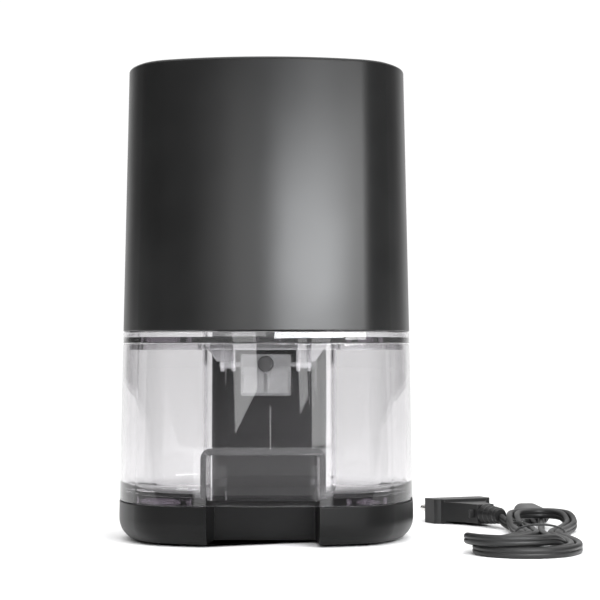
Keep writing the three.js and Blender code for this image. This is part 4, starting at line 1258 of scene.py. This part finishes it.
def make_magnet():
    low, high = box_mm("float_magnet")
    radius = (high.x - low.x) / 2
    depth = high.y - low.y
    profile = [(0, 0), (radius - 0.25, 0), (radius, 0.25), (radius, depth - 0.3), (radius - 0.3, depth)]
    profile += [(radius - 0.9, depth), (radius - 1.0, depth - 0.12), (0, depth - 0.12)]
    place = ((low.x + high.x) / 2, high.y, (low.z + high.z) / 2)
    made = moved(lathe(profile, 48), *place, pi / 2, "X")
    finish_piece(made, "magnet", "magnet_metal", "float_magnet", body="float_arm")


# ---- upper housing


def window_shape(shrink=0.0):
    reach, low, high = WINDOW_HALF - shrink, WINDOW_LOW + shrink, WINDOW_TOP - shrink
    return rounded(-reach, reach, low, high, WINDOW_RADIUS - shrink, 8)


def make_shell():
    low, top = SHELL_LOW.z, SHELL_HIGH.z
    wall = [(low, draft(low) - WALL), (low, draft(low) - FINE_EDGE)]
    wall += arc(low + FINE_EDGE, draft(low) - FINE_EDGE, FINE_EDGE, -90, 0, 3)[1:]
    wall += arc(top - SHELL_RIM, -1.35, SHELL_RIM, 0, 90, 7)
    wall += arc(top - 0.35, -2.15, 0.35, 90, 180, 3)
    over, under = draft(LEDGE_TOP) - WALL, draft(LEDGE_LOW) - WALL
    wall += [(LEDGE_TOP, over), (LEDGE_TOP, over - LEDGE), (LEDGE_LOW, under - LEDGE), (LEDGE_LOW, under)]
    shell = loft(wall, closed=True)
    cut(shell, prism_y(window_shape(), REAR_FROM, REAR_TO))
    inlet = rounded(-11.3, 11.3, 111.7, 125.3, 2)
    cut(shell, prism_y(inlet, REAR_FROM, REAR_TO))
    for _, side in SIDES:
        cut(shell, rod_y(side * REAR_SCREW_X, REAR_FROM, REAR_TO, REAR_SCREW_Z, 3.4, 32))
    bevelled(shell, 0.3, 2, 55)
    finish_piece(shell, "shell", "shell_black", "outer_shell")


def make_cover():
    high, under, over = COVER_HIGH.z, 230, 245
    edge = draft(COVER_LOW) - WALL - GAP
    plate = loft([(COVER_LOW, edge)] + arc(high - EDGE, edge - EDGE, EDGE, 0, 90, 3))
    for _, sx, sy in CORNERS:
        x, y = sx * FAN_SCREW, OUTLET_Y + sy * FAN_SCREW
        join(plate, rod(x, y, 230.3, COVER_LOW + 0.5, 3.2))
        cut(plate, rod(x, y, 225, 236.5, 1.8))
    for _, side in SIDES:
        join(plate, rod(side * 24, BUTTON_Y, 228.3, COVER_LOW + 0.5, 2.2))
    for row in range(OUTLET_COUNT):
        dy = (row - (OUTLET_COUNT - 1) / 2) * OUTLET_PITCH
        half = sqrt(OUTLET_RADIUS**2 - dy**2)
        cut(plate, prism(stadium(0, OUTLET_Y + dy, half, OUTLET_SLOT), under, over))
    lamp_hole = stadium(LAMP_X, BUTTON_Y, LENS_HALF + GAP, LENS_ROUND + GAP)
    cut(plate, rod(0, BUTTON_Y, under, over, BUTTON_HOLE, 40), prism(lamp_hole, under, over))
    bevelled(plate, 0.3, 2, 50)
    finish_piece(plate, "outlet_cover", "shell_black", "top_cover")


def make_grille():
    panel = cut(drafted(133, 205, 0.2), drafted(100, 220, WALL))
    common(panel, prism_y(window_shape(GAP), REAR_FROM, REAR_TO))
    for row in range(LOUVRE_COUNT):
        z = LOUVRE_LOWEST + row * LOUVRE_PITCH
        for _, side in SIDES:
            inner, outer = sorted((side * 2.5, side * 37))
            cut(panel, prism_y(rounded(inner, outer, z - 1.5, z + 1.5, 1.2, 4), 45, 75))
    bevelled(panel, 0.25, 2, 50)
    finish_piece(panel, "grille", "base_black", "rear_grille")


def make_controls():
    button = [
        (0, 233.8), (7.6, 233.8), (7.6, 235), (6.2, 235), (6.2, 238.7), (6.05, 239.1),
        (5.7, 239.35), (5.1, 239.4), (3.4, 239.15), (1.6, 239.0), (0, 238.95),
    ]
    cap = moved(lathe(button, 48), 0, BUTTON_Y)
    finish_piece(cap, "button_cap", "shell_black", "power_button", body="power_key")
    lens = bevelled(prism(stadium(LAMP_X, BUTTON_Y, LENS_HALF, LENS_ROUND), 233.5, 238.4), 0.35, 3)
    finish_piece(lens, "lamp_window", "lamp_clear", "lamp_lens")


def make_inlet():
    low, high = box_mm("inlet_socket")
    middle = (low.z + high.z) / 2
    body = prism_y(rounded(low.x, high.x, low.z, high.z, 2), low.y, high.y)
    cut(body, prism_y(stadium(0, middle, 7.6, 4.3, 8), high.y - 14, REAR_TO))
    for _, side in SIDES:
        cut(body, rod_y(side * CONTACT_X, 40, 60, middle, 1.5))
    bevelled(body, 0.3, 2, 50)
    finish_piece(body, "inlet", "base_black", "inlet_socket")
    for name, side in SIDES:
        pin_low, pin_high = box_mm(f"inlet_pin_{name}")
        length = pin_high.y - pin_low.y
        profile = [(0, 0), (1.2, 0), (1.2, length - 1.2), (0.9, length - 0.4), (0.4, length), (0, length)]
        pin = moved(lathe(profile), side * CONTACT_X, pin_low.y, middle, -pi / 2, "X")
        finish_piece(pin, f"inlet_contact_{name}", "pin_nickel", f"inlet_pin_{name}")


# ---- fan


def blade(angle):
    """A curved, pitched fan blade from the hub to the tip."""
    rows, columns = 9, 9
    vertices, faces = [], []
    for surface in (1, -1):
        for row in range(rows + 1):
            t = row / rows
            radius = BLADE_ROOT + BLADE_SPAN * t
            chord = radians(44 - 8 * t)
            pitch = 12.6 - 2.6 * t
            sweep = radians(16) * t
            for column in range(columns + 1):
                s = column / columns - 0.5
                turn = angle + sweep + s * chord
                thinned = surface * BLADE_THICK / 2 * (1 - 0.8 * (2 * s) ** 4)
                z = BLADE_Z + pitch * s + 1.1 * cos(pi * s) + thinned
                vertices.append((radius * cos(turn), FAN_Y + radius * sin(turn), z))
    width = columns + 1
    sheet = width * (rows + 1)
    for row in range(rows):
        for column in range(columns):
            a = row * width + column
            b = a + width
            faces.append((a, a + 1, b + 1, b)[::-1])
            faces.append((a + sheet, a + 1 + sheet, b + 1 + sheet, b + sheet))
    rim = [row * width for row in range(rows + 1)]
    rim += [rows * width + column for column in range(1, width)]
    rim += [row * width + columns for row in reversed(range(rows))]
    rim += [column for column in reversed(range(1, columns))]
    for a, b in zip(rim, rim[1:] + rim[:1]):
        faces.append((a, b, b + sheet, a + sheet)[::-1])
    return new_object("blade", vertices, faces)


def make_fan():
    z0, z1 = HUB_LOW, HUB_TOP
    cup = lathe(
        [
            (1.8, z1 - 4), (HUB_RADIUS - 2, z1 - 4), (HUB_RADIUS - 2, z0), (HUB_RADIUS, z0),
            (HUB_RADIUS, z1 - 1.6), (HUB_RADIUS - 0.3, z1 - 0.6), (HUB_RADIUS - 1.2, z1), (9, z1),
            (8.6, z1 - 0.5), (1.8, z1 - 0.5),
        ],
        48,
    )
    wheel = [moved(cup, 0, FAN_Y)] + [blade(2 * pi * i / BLADES) for i in range(BLADES)]
    finish_piece(merged(wheel), "fan_wheel_blades", "fan_plastic", "fan_rotor", body="fan_wheel")

    low, high = FAN_LOW.z, FAN_HIGH.z
    body = prism(rounded(FAN_LOW.x, FAN_HIGH.x, FAN_LOW.y, FAN_HIGH.y, 4, 8), low, high)
    duct = [(0, low - 1), (FAN_MOUTH, low - 1), (FAN_MOUTH, low), (FAN_DUCT, low + 2), (FAN_DUCT, high - 2)]
    duct += [(FAN_MOUTH, high), (FAN_MOUTH, high + 1), (0, high + 1)]
    cut(body, moved(lathe(duct, 72), 0, FAN_Y))
    for quarter in range(4):
        strut = bevelled(block(-1.6, 1.6, 15, 41, low, low + 2.4), 0.4)
        join(body, moved(strut, 0, FAN_Y, 0, quarter * pi / 2 + 0.5))
    join(body, rod(0, FAN_Y, low, low + 2, 17, 48))
    cut(body, rod(0, FAN_Y, 200, 220, 2.2))
    for _, sx, sy in CORNERS:
        cut(body, rod(sx * FAN_SCREW, FAN_Y + sy * FAN_SCREW, 200, 240, 2.1))
    bevelled(body, 0.3, 2, 50)
    finish_piece(body, "fan_housing", "fan_plastic", "fan_frame")


KEPT_NODES = {
    "base_black": ["base_plate", "inner_tray", "drip_funnel"],
    "screw_steel": ["column_screw_left", "column_screw_right", "clamp_screw_left", "clamp_screw_right"]
    + [f"fan_screw_{corner}" for corner, _, _ in CORNERS]
    + ["fan_shaft", "tact_switch"],
    "heatsink_aluminium": ["cold_heatsink", "hot_heatsink"],
    "insulation_foam": ["insulation_frame"],
    "peltier_ceramic": ["peltier_module"],
    "winding_copper": ["fan_stator", "transformer"],
    "circuit_board": ["control_board", "power_board", "reed_switch"],
    "capacitor_sleeve": ["capacitor"],
}

make_base()
make_feet()
make_base_screws()
make_column()
make_tank()
make_lid()
make_float()
make_magnet()
make_shell()
make_cover()
make_grille()
make_controls()
make_inlet()
make_fan()
for kept_slot, kept_nodes in KEPT_NODES.items():
    for kept_node in kept_nodes:
        dress(kept_node, kept_slot)
